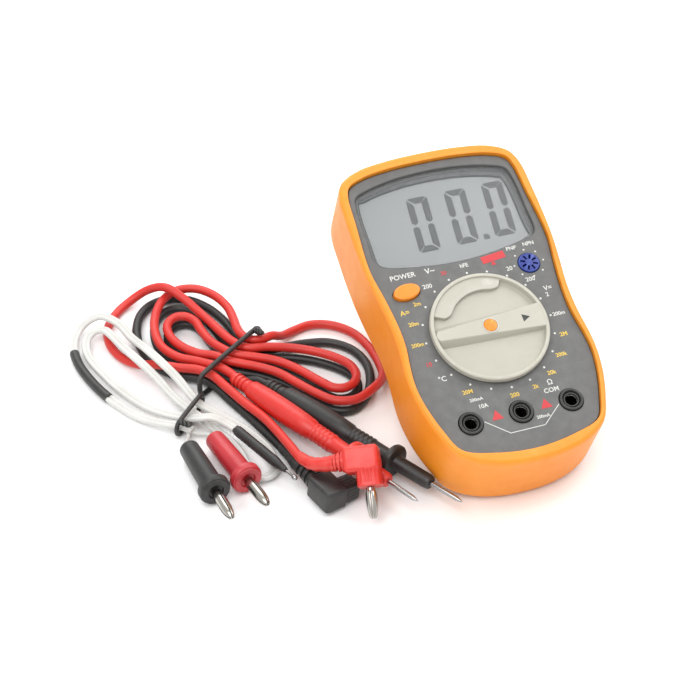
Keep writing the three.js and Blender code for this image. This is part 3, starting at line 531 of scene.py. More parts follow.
cordEnds = {  # a point inside the plug's relief and one inside the probe's tail
    "red": ((-64.3, -31.7, 15), (-82.3, 30.6, 7.1)),
    "black": ((-72.9, -20.9, 5.5), (-70.6, 24.1, 5.3)),
}
reliefTaper = {"length": 15, "wide": 3.1, "narrow": 1.95}
cordSizes = {
    "leadDiameter": 0.0035, "settled": 0.0003, "spacing": 1.6, "notch": 0.22, "twinCore": 0.95,
    "twinReach": 1.85, "coreOff": 0.85, "splitWire": 0.8, "sleeveRadius": 1.9, "sleeveSpan": (24, 44),
}


def routeLine(points, tie):
    line = smoothPath(overTie(points, tie), spacing=cordSizes["spacing"])
    return [leadsSpace @ Vector(spot) - Vector((0, 0, cordSizes["settled"])) for spot in line]


def lineLength(line):
    return sum((b - a).length for a, b in zip(line, line[1:]))


def cordCurve(name, line, radius):
    curve = bpy.data.curves.new(name, "CURVE")
    curve.dimensions = "3D"
    curve.bevel_depth, curve.bevel_resolution, curve.use_fill_caps = radius, 4, True
    spline = curve.splines.new("POLY")
    spline.points.add(len(line) - 1)
    for point, spot in zip(spline.points, line):
        point.co = (*spot, 1)
    spline.use_smooth = True
    obj = bpy.data.objects.new(name, curve)
    bpy.context.scene.collection.objects.link(obj)
    return obj


redLine = routeLine([cordEnds["red"][0], *redCable, cordEnds["red"][1]], leadTie)
blackLine = routeLine([cordEnds["black"][0], *blackCable, cordEnds["black"][1]], leadTie)
redCord = cordCurve("red_lead", redLine, cordSizes["leadDiameter"] / 2)
blackCord = cordCurve("black_lead", blackLine, cordSizes["leadDiameter"] / 2)
settle(redCord, "test_leads", "redRubber", ["red_cable"])
settle(blackCord, "test_leads", "blackRubber", ["black_cable"])


def taperedRelief(name, line, finishName):  # the soft sleeve that follows the cord out of its plug
    spots = [line[0]]
    while lineLength(spots) < reliefTaper["length"] / 1000:
        spots.append(line[len(spots)])
    obj = cordCurve(name, spots, 0.001)
    for i, point in enumerate(obj.data.splines[0].points):
        share = i / (len(spots) - 1)
        notch = cordSizes["notch"] if i % 2 and share < 0.75 else 0
        point.radius = reliefTaper["wide"] + (reliefTaper["narrow"] - reliefTaper["wide"]) * share - notch
    choose(obj)
    bpy.ops.object.convert(target="MESH")
    return settle(bpy.context.active_object, "test_leads", finishName, (), Matrix.Identity(4), 50)


taperedRelief("red_relief", redLine, "redPlastic")
taperedRelief("black_relief", blackLine, "blackPlastic")


def twinCord(name, points, tie, core):  # two cores side by side, lying flat
    line = smoothPath(overTie(points, tie), spacing=cordSizes["spacing"])
    along = np.gradient(line, axis=0)
    along /= np.linalg.norm(along, axis=1, keepdims=True)
    side = np.cross(along, (0, 0, 1))
    side /= np.linalg.norm(side, axis=1, keepdims=True)
    over = np.cross(side, along)
    angles = np.linspace(0, 2 * math.pi, 24, endpoint=False)
    across = np.cos(angles) * cordSizes["twinReach"] * core
    offCore = np.abs(across) - core * cordSizes["coreOff"]
    upward = np.sign(np.sin(angles)) * np.sqrt(np.maximum(core**2 - offCore**2, 0))
    loops = [spot + across[:, None] * s + upward[:, None] * u for spot, s, u in zip(line, side, over)]
    return loft(name, loops), [leadsSpace @ Vector(spot) for spot in line]


thermoCord, thermoLine = twinCord("thermocouple_cable", twinCable, thermoTie, cordSizes["twinCore"])
settle(thermoCord, "thermocouple_lead", "whiteCable", ["thermo_cable"], leadsSpace, 60)
splitWires = [
    [(-105.2, 13.6, 2), (-103, 11.2, 2.2), (-100.4, 9, 3), (-98.7, 6, 4.4)],
    [(-105.8, 13.6, 2), (-106.6, 11, 2.2), (-108, 8, 3), (-108.5, 4.4, 4.4)],
]


def bareWire(name, points, radius, spacing=0.8, closed=False):
    line = smoothPath(points, spacing=spacing, closed=closed)
    obj = cordCurve(name, [Vector(spot) for spot in line], radius)
    obj.data.splines[0].use_cyclic_u = closed
    obj.data.bevel_resolution = 3
    choose(obj)
    bpy.ops.object.convert(target="MESH")
    return bpy.context.active_object


thermoWires = joined("thermocouple_cores", [
    bareWire(f"core_{i}", points, cordSizes["splitWire"]) for i, points in enumerate(splitWires)])
settle(thermoWires, "thermocouple_lead", "whiteCable", (), leadsSpace, 60)
sleeveFirst, sleeveLast = cordSizes["sleeveSpan"]
heatSleeve = cordCurve("heat_sleeve", thermoLine[sleeveFirst:sleeveLast], cordSizes["sleeveRadius"] / 1000)
choose(heatSleeve)
bpy.ops.object.convert(target="MESH")
heatSleeve = bpy.context.active_object
settle(heatSleeve, "thermocouple_lead", "blackPlastic", (), Matrix.Identity(4), 60)
print("cords laid: red", round(lineLength(redLine), 3), "black", round(lineLength(blackLine), 3),
      "thermocouple", round(lineLength(thermoLine), 3))

# the holster
heights = {
    "rim": 1.6, "lip": -0.8, "plate": -3.2, "split": -13, "floorIn": -26.3, "floorOut": -29,
}
holsterLook = {
    "wall": 1.9, "edge": 4, "steps": 7, "lipEdge": 0.4, "topIn": 1.7, "topDown": 2.1, "ear": (3.8, 7, 5),
    "earOff": 2.3, "earEdge": 0.8, "recessEdge": 0.9, "recessUp": 0.6, "pinSlack": 0.3, "pinReach": 1.8,
    "pinOff": 1.9,
}
holsterHalf = [
    (0, 77.4), (14, 76.9), (26, 75), (33.4, 71), (36, 65), (36.7, 54), (36.8, 36), (36.1, 25), (34.5, 10),
    (34.5, 0), (35.6, -14), (34.6, -25), (31.6, -36), (27.6, -44.6), (20, -49.9), (9, -52.9), (0, -53.4),
]
panelHalf = [
    (0, 73.3), (14, 72.8), (25, 71.1), (31.2, 68.2), (32.8, 64), (33.6, 52), (34.6, 38), (34.6, 31),
    (33, 20), (31.8, 8), (31.8, 0), (33, -9), (33.5, -16), (32.6, -24), (29.6, -35), (25.8, -43.2),
    (15, -47), (0, -48.8),
]
windowHalf = [
    (0, 69.3), (14, 68.4), (25, 66), (29.4, 64), (30.6, 60), (31.1, 45), (30.8, 35.6), (28, 33.2),
    (14, 30.3), (0, 29.3),
]
holsterLoop, panelLoop, windowLoop = (symmetricLoop(half) for half in (holsterHalf, panelHalf, windowHalf))
hinge = {"y": 52, "z": -28.2, "pin": 1.1, "halfWidth": 17}


def nearestOn(loop, target):  # the target loop's own points nearest to each point of a loop
    dense = smoothPath(target, closed=True, count=2400)
    spots = []
    for point in loop:
        spots.append(dense[np.argmin(np.sum((dense - point) ** 2, axis=1))])
    return np.array(spots)


def makeHolster():
    edge, steps = holsterLook["edge"], holsterLook["steps"]
    lipLoop = nearestOn(holsterLoop, panelLoop)
    quarter = np.linspace(0, math.pi / 2, steps)
    loops = [
        atHeight(inward(holsterLoop, edge * (1 - math.sin(a))), heights["floorOut"] + edge
            * (1 - math.cos(a)))
        for a in quarter]
    width = np.linalg.norm(lipLoop - holsterLoop, axis=1, keepdims=True)
    roundIn = np.minimum(0.6, holsterLook["topIn"] / width)
    for a in quarter:
        spot = holsterLoop + (lipLoop - holsterLoop) * roundIn * (1 - math.cos(a))
        loops.append(atHeight(spot, heights["rim"] - holsterLook["topDown"] * (1 - math.sin(a))))
    lip = holsterLook["lipEdge"]
    inner = (lipLoop - holsterLoop) / width
    loops += [
        atHeight(lipLoop - inner * lip, heights["rim"]),
        atHeight(lipLoop - inner * lip * 0.3, heights["rim"] - lip * 0.3),
        atHeight(lipLoop, heights["rim"] - lip), atHeight(lipLoop, heights["lip"]),
        atHeight(inward(holsterLoop, holsterLook["wall"]), heights["lip"]),
        atHeight(inward(holsterLoop, holsterLook["wall"]), heights["floorIn"]),
    ]
    obj = loft("holster_shell", loops)
    half = hinge["halfWidth"]
    look = holsterLook
    ears = [
        block(f"ear_{side}", look["ear"], (side * (half + look["earOff"]), hinge["y"], hinge["z"]),
            look["earEdge"])
        for side in (-1, 1)]
    combine(obj, "UNION", ears)
    recess = block("recess", (2 * half + 0.8, hinge["y"] - 4, 5),
        (0, (hinge["y"] + 12) / 2, heights["floorOut"] + look["recessUp"]), look["recessEdge"])
    pinHoles = []
    for side in (-1, 1):
        hole = post("pin_hole", hinge["pin"] + look["pinSlack"], -look["pinReach"], look["pinReach"])
        place = Matrix.Translation((side * (half + look["pinOff"]), hinge["y"], hinge["z"]))
        pinHoles.append(moved(hole, place @ Matrix.Rotation(math.pi / 2, 4, "Y")))
    combine(obj, "DIFFERENCE", [recess] + pinHoles)
    settle(obj, "meter", "orangeRubber", ["holster"])
    evenNormals(obj)


makeHolster()
print("holster made")

# the panel
panelLook = {
    "inset": 0.3, "caseInset": 2.2, "caseWall": 1.8, "edge": 0.35, "windowLedge": 0.9, "ledgeAt": -2.05,
    "shaft": 6.0, "jackHole": 4.6, "jackRow": -33.9, "jackPitch": 19, "button": (-24.3, 21.2),
    "socket": (23.9, 22.6),
}
buttonLook = {"across": 5.1, "up": 3.1, "turn": math.radians(6), "top": 1.7}


def makePanel():
    look = panelLook
    outer = look["caseInset"]
    inner = outer + look["caseWall"]
    raised = nearestOn(holsterLoop, panelLoop)
    raisedIn = (raised - holsterLoop) / np.linalg.norm(raised - holsterLoop, axis=1, keepdims=True)
    loops = [
        atHeight(inward(holsterLoop, inner), heights["plate"]),
        atHeight(inward(holsterLoop, inner), heights["split"]),
        atHeight(inward(holsterLoop, outer), heights["split"]),
        atHeight(inward(holsterLoop, outer), heights["lip"] - 0.3),
        atHeight(raised + raisedIn * look["inset"], heights["lip"] - 0.3),
        atHeight(raised + raisedIn * look["inset"], -look["edge"]),
        atHeight(raised + raisedIn * (look["inset"] + look["edge"] * 0.3), -look["edge"] * 0.3),
        atHeight(raised + raisedIn * (look["inset"] + look["edge"]), 0),
    ]
    obj = loft("front_panel", loops)
    ledge = look["windowLedge"]
    opening = loft("opening", [
        atHeight(inward(windowLoop, ledge), heights["plate"] - 1),
        atHeight(inward(windowLoop, ledge), look["ledgeAt"]),
        atHeight(inward(windowLoop, -0.25), look["ledgeAt"]), atHeight(inward(windowLoop, -0.25), -0.3),
        atHeight(inward(windowLoop, -0.6), 0.05), atHeight(inward(windowLoop, -0.6), 1)])
    low = heights["plate"] - 1
    across, up, turn = buttonLook["across"], buttonLook["up"], buttonLook["turn"]
    egg = plate("egg", ringOf(across + 0.3, up + 0.3, 56, turn, look["button"]), low, 1)
    holes = [opening, egg, post("shaft_hole", look["shaft"], low, 1, sides=48),
        post("socket_hole", 4.3, low, 1, *look["socket"], 48)]
    holes += [post("jack_hole", look["jackHole"], low, 1, i * look["jackPitch"], look["jackRow"], 56)
        for i in (-1, 0, 1)]
    combine(obj, "DIFFERENCE", holes)
    settle(obj, "meter", "greyPlastic", ["front_case"], smooth=28)
    evenNormals(obj)


def makeWindow():
    inset = 0.05
    glass = loft("window_glass", [
        atHeight(inward(windowLoop, inset), -1.95), atHeight(inward(windowLoop, inset), -0.75),
        atHeight(inward(windowLoop, inset + 0.2), -0.6)])
    settle(glass, "meter", "windowGlass", ["lcd_window"])
    ledge = panelLook["windowLedge"] + 0.05
    sheet = loft("display_sheet", [
        atHeight(inward(windowLoop, ledge), -3.4), atHeight(inward(windowLoop, ledge), -3.0),
        atHeight(inward(windowLoop, ledge + 0.15), -2.9)])
    cell = block("display_cell", (56, 30.1, 2.85), (0, 48.25, -4.87), 0.3)
    combine(sheet, "UNION", [cell])
    settle(sheet, "meter", "displayGlass", ["lcd_module"])
    # the dark ring round the display is a thin bezel border, widened on the top and right as painted shade of
    # the recess wall
    along = np.roll(windowLoop, -1, 0) - np.roll(windowLoop, 1, 0)
    along /= np.linalg.norm(along, axis=1, keepdims=True)
    towardsX, towardsY = bezelAndShadeLook["towards"]
    facing = np.clip(-along[:, 1] * towardsX + along[:, 0] * towardsY, 0, 1)[:, None]
    band = inward(windowLoop, 1) - windowLoop
    inner = windowLoop + band * (bezelAndShadeLook["thin"] + (bezelAndShadeLook["wide"] - bezelAndShadeLook["thin"]) * facing)
    slope = band * 0.4
    bezelAndShade = loft("display_bezel_and_shade", [
        atHeight(inward(windowLoop, 0.96), -2.89), atHeight(inward(windowLoop, 0.96), -2.2),
        atHeight(inner - slope, -2.2), atHeight(inner, -2.5), atHeight(inner, -2.89),
        atHeight(inward(windowLoop, 0.96), -2.89)], True)
    settle(bezelAndShade, "meter", "bezelAndShadePlastic")


# the display's dark ring: thin is the bezel border all round, wide is the band on the top and right that is
# painted shade of the recess wall, towards is the side it widens to
bezelAndShadeLook = {"thin": 1.45, "wide": 3.3, "towards": (0.55, 0.84)}
digitLook = {
    "count": 3, "left": -13.1, "low": 37.4, "pitch": 15, "width": 8.4, "tall": 23.4, "slant": 2.1,
    "stroke": 2.6, "gap": 0.3, "cut": 0.8, "tip": 0.35, "under": -2.9, "over": -2.84, "point": (13.6, 38.5),
    "pointSize": 2.2,
}


def digitBar(name, start, end, middle, startTip, endTip):  # mitred or pointed at each end
    look = digitLook
    thick, gap, cut, tip = look["stroke"], look["gap"], look["cut"], look["stroke"] * look["tip"]
    mitred = [(gap + cut, 0), (gap + cut / 2, cut / 2), (gap + thick, thick)]
    pointed = [(gap + tip, 0), (gap, thick / 2), (gap + tip, thick)]
    along = (end - start).normalized()
    inside = Vector((along.y, -along.x))
    if inside.dot(middle - (start + end) / 2) < 0:
        inside = -inside
    outline = [start + along * a + inside * b for a, b in (pointed if startTip else mitred)]
    outline += [end - along * a + inside * b for a, b in reversed(pointed if endTip else mitred)]
    return plate(name, [tuple(spot) for spot in outline], look["under"], look["over"])


def makeDigits():  # each digit is a slanted frame of six bars
    look = digitLook
    pieces = []
    for number in range(look["count"]):
        lowLeft = Vector((look["left"] + number * look["pitch"], look["low"]))
        across, upward = Vector((look["width"], 0)), Vector((look["slant"], look["tall"]))
        spots = [lowLeft + upward, lowLeft + upward + across, lowLeft + upward / 2 + across,
                 lowLeft + across, lowLeft, lowLeft + upward / 2]
        middle = lowLeft + (upward + across) / 2
        for i, start in enumerate(spots):
            end = spots[(i + 1) % 6]
            pieces.append(digitBar(f"bar_{number}_{i}", start, end, middle, i in (2, 5), i in (1, 4)))
    px, py = look["point"]
    half = look["pointSize"] / 2
    square = [(px - half, py - half), (px - half, py + half), (px + half, py + half), (px + half, py - half)]
    pieces.append(plate("point", square, look["under"], look["over"]))
    settle(joined("display_digits", pieces), "meter", "digitInk")


makePanel()
makeWindow()
makeDigits()
print("panel and display made")

# the dial
knobLook = {
    "hub": 5.7, "radius": 21.8, "top": 2.95, "floor": 0.55, "rim": 1.35, "baseHalf": 4.4, "barLeft": 1.9,
    "barRight": 4.75, "barTop": 3.0, "crescent": (60, 155), "crescentTop": 2.2, "cap": 2.45, "collar": 3.2,
}


def makeKnob():
    look = knobLook
    outer, top, rim = look["radius"], look["top"], look["rim"]
    knob = turned("dial_knob", [
        (look["hub"], -4.9), (look["hub"], 0.35), (outer - 0.5, 0.35), (outer, 0.8), (outer, top - 0.7),
        (outer - 0.12, top - 0.3),
        (outer - 0.4, top - 0.06), (outer - 0.6, top), (outer - rim + 0.15, top),
        (outer - rim - 0.05, top - 0.1),
        (outer - rim - 0.15, top - 0.4), (outer - rim - 0.5, look["floor"] + 0.35),
        (outer - rim - 0.9, look["floor"]), (0, look["floor"]),
    ], 128)
    reach = outer - rim + 0.1
    barLoops = []
    for halfLeft, halfRight, z in ((look["baseHalf"], look["baseHalf"] + 0.6, look["floor"] - 0.3),
        (look["barLeft"], look["barRight"], look["barTop"])):
        turns = np.linspace(0, math.pi, 9)
        leftEnd = [(-reach + 1.9 - 1.7 * math.sin(a), -halfLeft * math.cos(a)) for a in turns]
        rightHalf = math.asin(halfRight / reach)
        rightEnd = [(reach * math.cos(a), reach * math.sin(a)) for a in np.linspace(rightHalf, -rightHalf, 9)]
        barLoops.append(atHeight(np.array(leftEnd + rightEnd), z))
    bar = soften(loft("bar", barLoops), 0.28, 3, 50)
    first, last = (math.radians(angle) for angle in look["crescent"])
    sweep = np.linspace(first, last, 26)
    reach = outer - rim + 0.05
    outline = [(reach * math.cos(a), reach * math.sin(a)) for a in sweep]
    inner = []
    for a in sweep[::-1]:
        share = (a - first) / (last - first)
        firstLobe = 1.6 * (1 - min(1, share / 0.12)) ** 2
        lastLobe = 2.2 * max(0, (share - 0.88) / 0.12) ** 2
        inner.append((look["radius"] - 6.2 - 1.5 * share + firstLobe + lastLobe, a))
    outline += [(r * math.cos(a), r * math.sin(a)) for r, a in inner]
    crescent = plate("crescent", outline, look["floor"] - 0.3, look["crescentTop"], 0.35, 3)
    collar, low, high = look["collar"], look["floor"] - 0.2, look["barTop"] + 0.2
    collar = turned("collar", [
        (0, low), (collar, low), (collar, look["barTop"]), (collar - 0.25, high), (0, high)], 48)
    combine(knob, "UNION", [bar, crescent, collar])
    capHole = post("cap_hole", look["cap"] + 0.12, look["barTop"] - 0.4, look["barTop"] + 2, sides=48)
    combine(knob, "DIFFERENCE", [capHole])
    settle(knob, "knob", "puttyPlastic", ["rotary_knob"], smooth=25)
    evenNormals(knob)
    mark = plate("dial_mark", [(12.4, -1.5), (12.4, 1.5), (15.2, 0)], look["barTop"], look["barTop"] + 0.06)
    settle(mark, "knob", "blackPlastic")
    cap = turned("dial_cap", [
        (0, look["barTop"] - 0.38), (look["cap"], look["barTop"] - 0.38),
        (look["cap"], look["barTop"] + 0.12),
        (look["cap"] - 0.1, look["barTop"] + 0.27), (look["cap"] - 0.35, look["barTop"] + 0.35),
        (0, look["barTop"] + 0.4)], 48)
    settle(cap, "knob", "orangePlastic", ["knob_cap"])


standLook = {
    "foot": -68.64, "thick": 2, "knuckle": 1.9, "sideBar": 7, "crossBar": 8, "innerEdge": 1.6,
    "outerEdge": 0.45, "pinOut": 3.4,
}


def makeStand():
    look, half = standLook, hinge["halfWidth"]
    top, foot = hinge["z"], look["foot"]
    leg = block("stand_frame", (2 * half, look["thick"], top - foot), (0, hinge["y"], (top + foot) / 2))
    opening = block("opening", (2 * (half - look["sideBar"]), 6, top - foot - 2 * look["crossBar"]),
        (0, hinge["y"], (top + foot) / 2))
    combine(leg, "DIFFERENCE", [soften(opening, look["innerEdge"], 5)])
    soften(leg, look["outerEdge"], 3)
    turn = Matrix.Translation((0, hinge["y"], hinge["z"])) @ Matrix.Rotation(math.pi / 2, 4, "Y")
    knuckle = soften(post("knuckle", look["knuckle"], -half, half), 0.3, 2, 60)
    pin = soften(post("pin", hinge["pin"], -half - look["pinOut"], half + look["pinOut"]), 0.2, 2, 60)
    combine(leg, "UNION", [moved(knuckle, turn), moved(pin, turn)])
    settle(leg, "stand", "orangePlastic", ["tilt_stand"])
    evenNormals(leg)


def makeButton():
    across, up, turn = buttonLook["across"], buttonLook["up"], buttonLook["turn"]
    middle, top = panelLook["button"], buttonLook["top"]
    loops = [(1.2, -4.6), (1.2, -3.5), (0, -3.5), (0, top - 0.7), (-0.12, top - 0.3), (-0.4, top - 0.08),
        (-0.75, top), (-1.5, top + 0.02)]
    obj = loft("push_button", [
        atHeight(ringOf(across + grow, up + grow, 64, turn, middle), z) for grow, z in loops])
    settle(obj, "button", "orangePlastic", ["power_button"])


socketLook = {"slits": 8, "slit": (1.9, 0.75, 3), "slitAt": (2.35, 0, 0.4)}


def makeSocket():
    x, y = panelLook["socket"]
    look = socketLook
    body = turned("component_socket", [(0, -7.7), (4, -7.7), (4, 0.3), (3.85, 0.52), (3.6, 0.6), (0, 0.6)],
        56)
    holes = []
    for i in range(look["slits"]):
        angle = (i + 0.5) * 2 * math.pi / look["slits"]
        slit = block("pin_slit", look["slit"], look["slitAt"])
        holes.append(moved(slit, Matrix.Rotation(angle, 4, "Z")))
    combine(body, "DIFFERENCE", holes)
    settle(moved(body, Matrix.Translation((x, y, 0))), "meter", "bluePlastic", ["transistor_socket"])


def makeJacks():
    ring = turned("jack_ring", [
        (3.0, -7.7), (4.3, -7.7), (4.3, 0.45), (4.2, 0.7), (3.95, 0.8), (3.55, 0.8), (3.35, 0.7), (3.2, 0.1),
        (3.0, -0.1),
        (2.85, 0.2), (2.7, 0.3), (2.4, 0.3), (2.25, 0.15), (2.2, -0.45), (3.0, -0.5), (3.0, -7.7)], 64, True)
    sleeve = turned("jack_sleeve", [(2.1, -19), (2.7, -19), (2.7, -0.75), (2.55, -0.6), (2.25, -0.6),
        (2.1, -0.8), (2.1, -19)], 48, True)
    for i, side in enumerate(("left", "middle", "right")):
        place = Matrix.Translation(((i - 1) * panelLook["jackPitch"], panelLook["jackRow"], 0))
        settle(copied(ring, f"jack_ring_{side}", place), "meter", "blackPlastic", [f"jack_insulator_{side}"])
        settle(copied(sleeve, f"jack_tube_{side}", place), "meter", "nickel", [f"jack_sleeve_{side}"])
    for spare in (ring, sleeve):
        bpy.data.objects.remove(spare)


makeStand()
makeKnob()
makeButton()
makeSocket()
makeJacks()
print("dial, button, socket and jacks made")

# the printed marks
dialMarks = {
    "dotRing": 23.97, "wordRing": 27.2, "dotSize": 0.42, "steps": 20, "height": 0.06, "socketDots": 8,
    "socketDot": 0.36, "socketRing": 5.7,
}
ringWords = {  # step round the dial, text and height of the range marks
    "whitePrint": [(-2, "200", 2.4), (0, "hFE", 2.2), (2, "20", 2.4), (3, "200", 2.4), (4, "2", 2.4),
        (5, "200m", 2.1)],
    "yellowPrint": [
        (6, "2M", 2.3), (7, "200k", 2.1), (8, "20k", 2.2), (9, "2k", 2.2), (10, "200", 2.3), (12, "20M", 2.2),
        (15, "200m", 2.1), (16, "20m", 2.2), (17, "2m", 2.3)],
    "pinkPrint": [(14, "10", 2.4), (-1, "20", 2.2)],
}
panelWords = {  # text, place and height of the marks beside the ring
    "whitePrint": [
        ("POWER", -23.5, 28, 2.8), ("V~", -13, 28, 3.1), ("PNP", 19.5, 30, 2.2), ("NPN", 26.5, 30.5, 2.2),
        ("V=", 27, 11, 2.7),
        ("Ω", 14, -25.5, 2.8), ("COM", 13.5, -28.5, 2.5), ("°C", -23, -15, 2.8), ("10A", -12.5, -28.5, 2.2),
        ("200mA", -14, -25.5, 1.7), ("200mA", 7, -37.5, 1.7)],
    "yellowPrint": [("A=", -27.5, 13.5, 2.8)],
}
printShapes = {
    "triangles": [(-9, -33.5, 2.5), (9.5, -33.5, 2.5), (11, 25.5, 1.2)],
    "box": {"left": 7.3, "low": 26, "width": 9.2, "tall": 2.9, "rise": 1.1},
    "bracket": {"half": 14, "foot": 6.5, "top": -34.5, "low": -40.8}, "line": 0.28, "boldness": 0.04,
}


def lettering(text, x, y, size):
    clearSelection()
    bpy.ops.object.text_add()
    obj = bpy.context.active_object
    obj.data.body, obj.data.size, obj.data.extrude = text, size, dialMarks["height"] / 2
    obj.data.offset = printShapes["boldness"]
    obj.data.align_x, obj.data.align_y, obj.data.resolution_u = "CENTER", "CENTER", 3
    bpy.ops.object.convert(target="MESH")
    obj = bpy.context.active_object
    return moved(obj, Matrix.Translation((x, y, dialMarks["height"] / 2)))


def roundDial(step, radius):  # a place on a ring round the dial, counted in steps from the top
    angle = math.radians(90 - step * 360 / dialMarks["steps"])
    return radius * math.cos(angle), radius * math.sin(angle)


def makePrint():
    look = dialMarks
    groups = {"whitePrint": [], "yellowPrint": [], "pinkPrint": []}
    for i in range(look["steps"]):
        dot = ringOf(look["dotSize"], look["dotSize"], 16, 0, roundDial(i, look["dotRing"]))
        groups["whitePrint"].append(plate("dot", dot, 0, look["height"]))
    socketX, socketY = panelLook["socket"]
    for i in range(look["socketDots"]):
        angle = i * 2 * math.pi / look["socketDots"]
        reach = look["socketRing"]
        spot = (socketX + reach * math.cos(angle), socketY + reach * math.sin(angle))
        dot = ringOf(look["socketDot"], look["socketDot"], 12, 0, spot)
        groups["whitePrint"].append(plate("dot", dot, 0, look["height"]))
    for group, words in ringWords.items():
        for step, text, size in words:
            groups[group].append(lettering(text, *roundDial(step, look["wordRing"]), size))
    for group, words in panelWords.items():
        groups[group] += [lettering(*word) for word in words]
    for x, y, size in printShapes["triangles"]:
        corners = [(x - size * 0.87, y - size / 2), (x, y + size), (x + size * 0.87, y - size / 2)]
        groups["pinkPrint"].append(plate("triangle", corners, 0, look["height"]))
    box = printShapes["box"]
    left, right, low, rise = box["left"], box["left"] + box["width"], box["low"], box["rise"]
    corners = [(left, low), (left - 0.4, low + box["tall"]), (right - 0.4, low + box["tall"] + rise),
        (right, low + rise)]
    groups["pinkPrint"].append(plate("box", corners, 0, look["height"]))
    bracket = printShapes["bracket"]
    path = [Vector((-bracket["half"], bracket["top"])), Vector((-bracket["foot"], bracket["low"])),
            Vector((bracket["foot"], bracket["low"])), Vector((bracket["half"], bracket["top"]))]
    for start, end in zip(path, path[1:]):
        along = (end - start).normalized() * printShapes["line"] / 2
        beside = Vector((-along.y, along.x))
        corners = [start - along - beside, start - along + beside, end + along + beside, end + along - beside]
        groups["whitePrint"].append(plate("line", [tuple(corner) for corner in corners], 0, look["height"]))
    for group, pieces in groups.items():
        settle(joined(group[:-5] + "_marks", pieces), "meter", group)


makePrint()
print("marks printed")

# probes and plugs
probeLook = {
    "black": {"tip": (-25.4, -57.1, 6.9), "tail": (-71.7, 26, 5), "finish": "blackPlastic"},
    "red": {"tip": (-40.7, -53.4, 8.8), "tail": (-82.9, 31.7, 6.9), "finish": "redPlastic"},
}


def probeProfile():
    rows = [(0, 14.3), (1.9, 14.3), (2.4, 14.5), (2.6, 15), (2.8, 16), (2.9, 29.6), (3.2, 30.3), (5.3, 30.6),
        (5.9, 30.8), (6.2, 31.3), (6.2, 32.7), (5.9, 33.2),
            (5.2, 33.5), (3.4, 33.8), (3.1, 34.6), (3.2, 41)]
    for i in range(5):  # finger ribs
        z = 42 + i * 2
        rows += [(3.3, z), (3.55, z + 0.35), (3.55, z + 0.9), (3.3, z + 1.25)]
    rows += [(3.6, 52.6), (3.9, 53.2), (4.2, 58), (4.35, 64), (4.32, 71), (4.2, 77), (3.7, 84.4),
        (3.2, 85.4), (2.9, 86)]
    for i in range(4):
        z = 86.6 + i * 2
        rows += [(2.75, z), (2.75, z + 0.9), (2.3, z + 1.2), (2.3, z + 1.7)]
    return rows + [(2.2, 94.8), (0, 95)]


needleProfile = [(0.03, 0), (0.25, 0.35), (0.6, 1.4), (0.9, 2.7), (0.9, 14), (0, 14)]


def makeProbes():
    for colour, look in probeLook.items():
        aim = leadsSpace @ aimed(look["tip"], look["tail"])
        handle = turned(f"{colour}_probe", probeProfile(), 44)
        settle(handle, "test_leads", look["finish"], [f"{colour}_probe_handle"], aim, 40)
        needle = turned(f"{colour}_needle", needleProfile, 24)
        settle(needle, "test_leads", "steel", [f"{colour}_probe_needle"], aim)


pinSlit = {"wide": 0.45, "across": 6}


def slitPin(name, rows, middle, length):  # a round pin, split twice so that it springs
    pin = turned("pin", rows, 32)
    wide, across = pinSlit["wide"], pinSlit["across"]
    slits = [block("slit", size, (0, 0, middle)) for size in ((wide, across, length), (across, wide, length))]
    combine(pin, "DIFFERENCE", slits)
    pin.name = pin.data.name = name
    return pin


plugHead = {"size": (12.6, 9.2, 9.2), "middle": (-2.1, 0, 0), "edge": 1.3, "ribs": 4, "ribFrom": 8,
    "flutes": 20, "around": 96}
plugLook = {
    "red": {"elbow": (-53.2, -35.7, 17.1), "inward": (0.924, -0.336, 0.184), "pin": (-0.171, -0.791, -0.586),
        "reach": 14, "barrel": 4.55, "finish": "redPlastic"},
    "black": {"elbow": (-67.6, -37.5, 5.5), "inward": (0.3, -0.95, 0), "pin": (0.93, 0.34, -0.128),
        "reach": 19, "barrel": 4.2, "finish": "blackPlastic"},
}


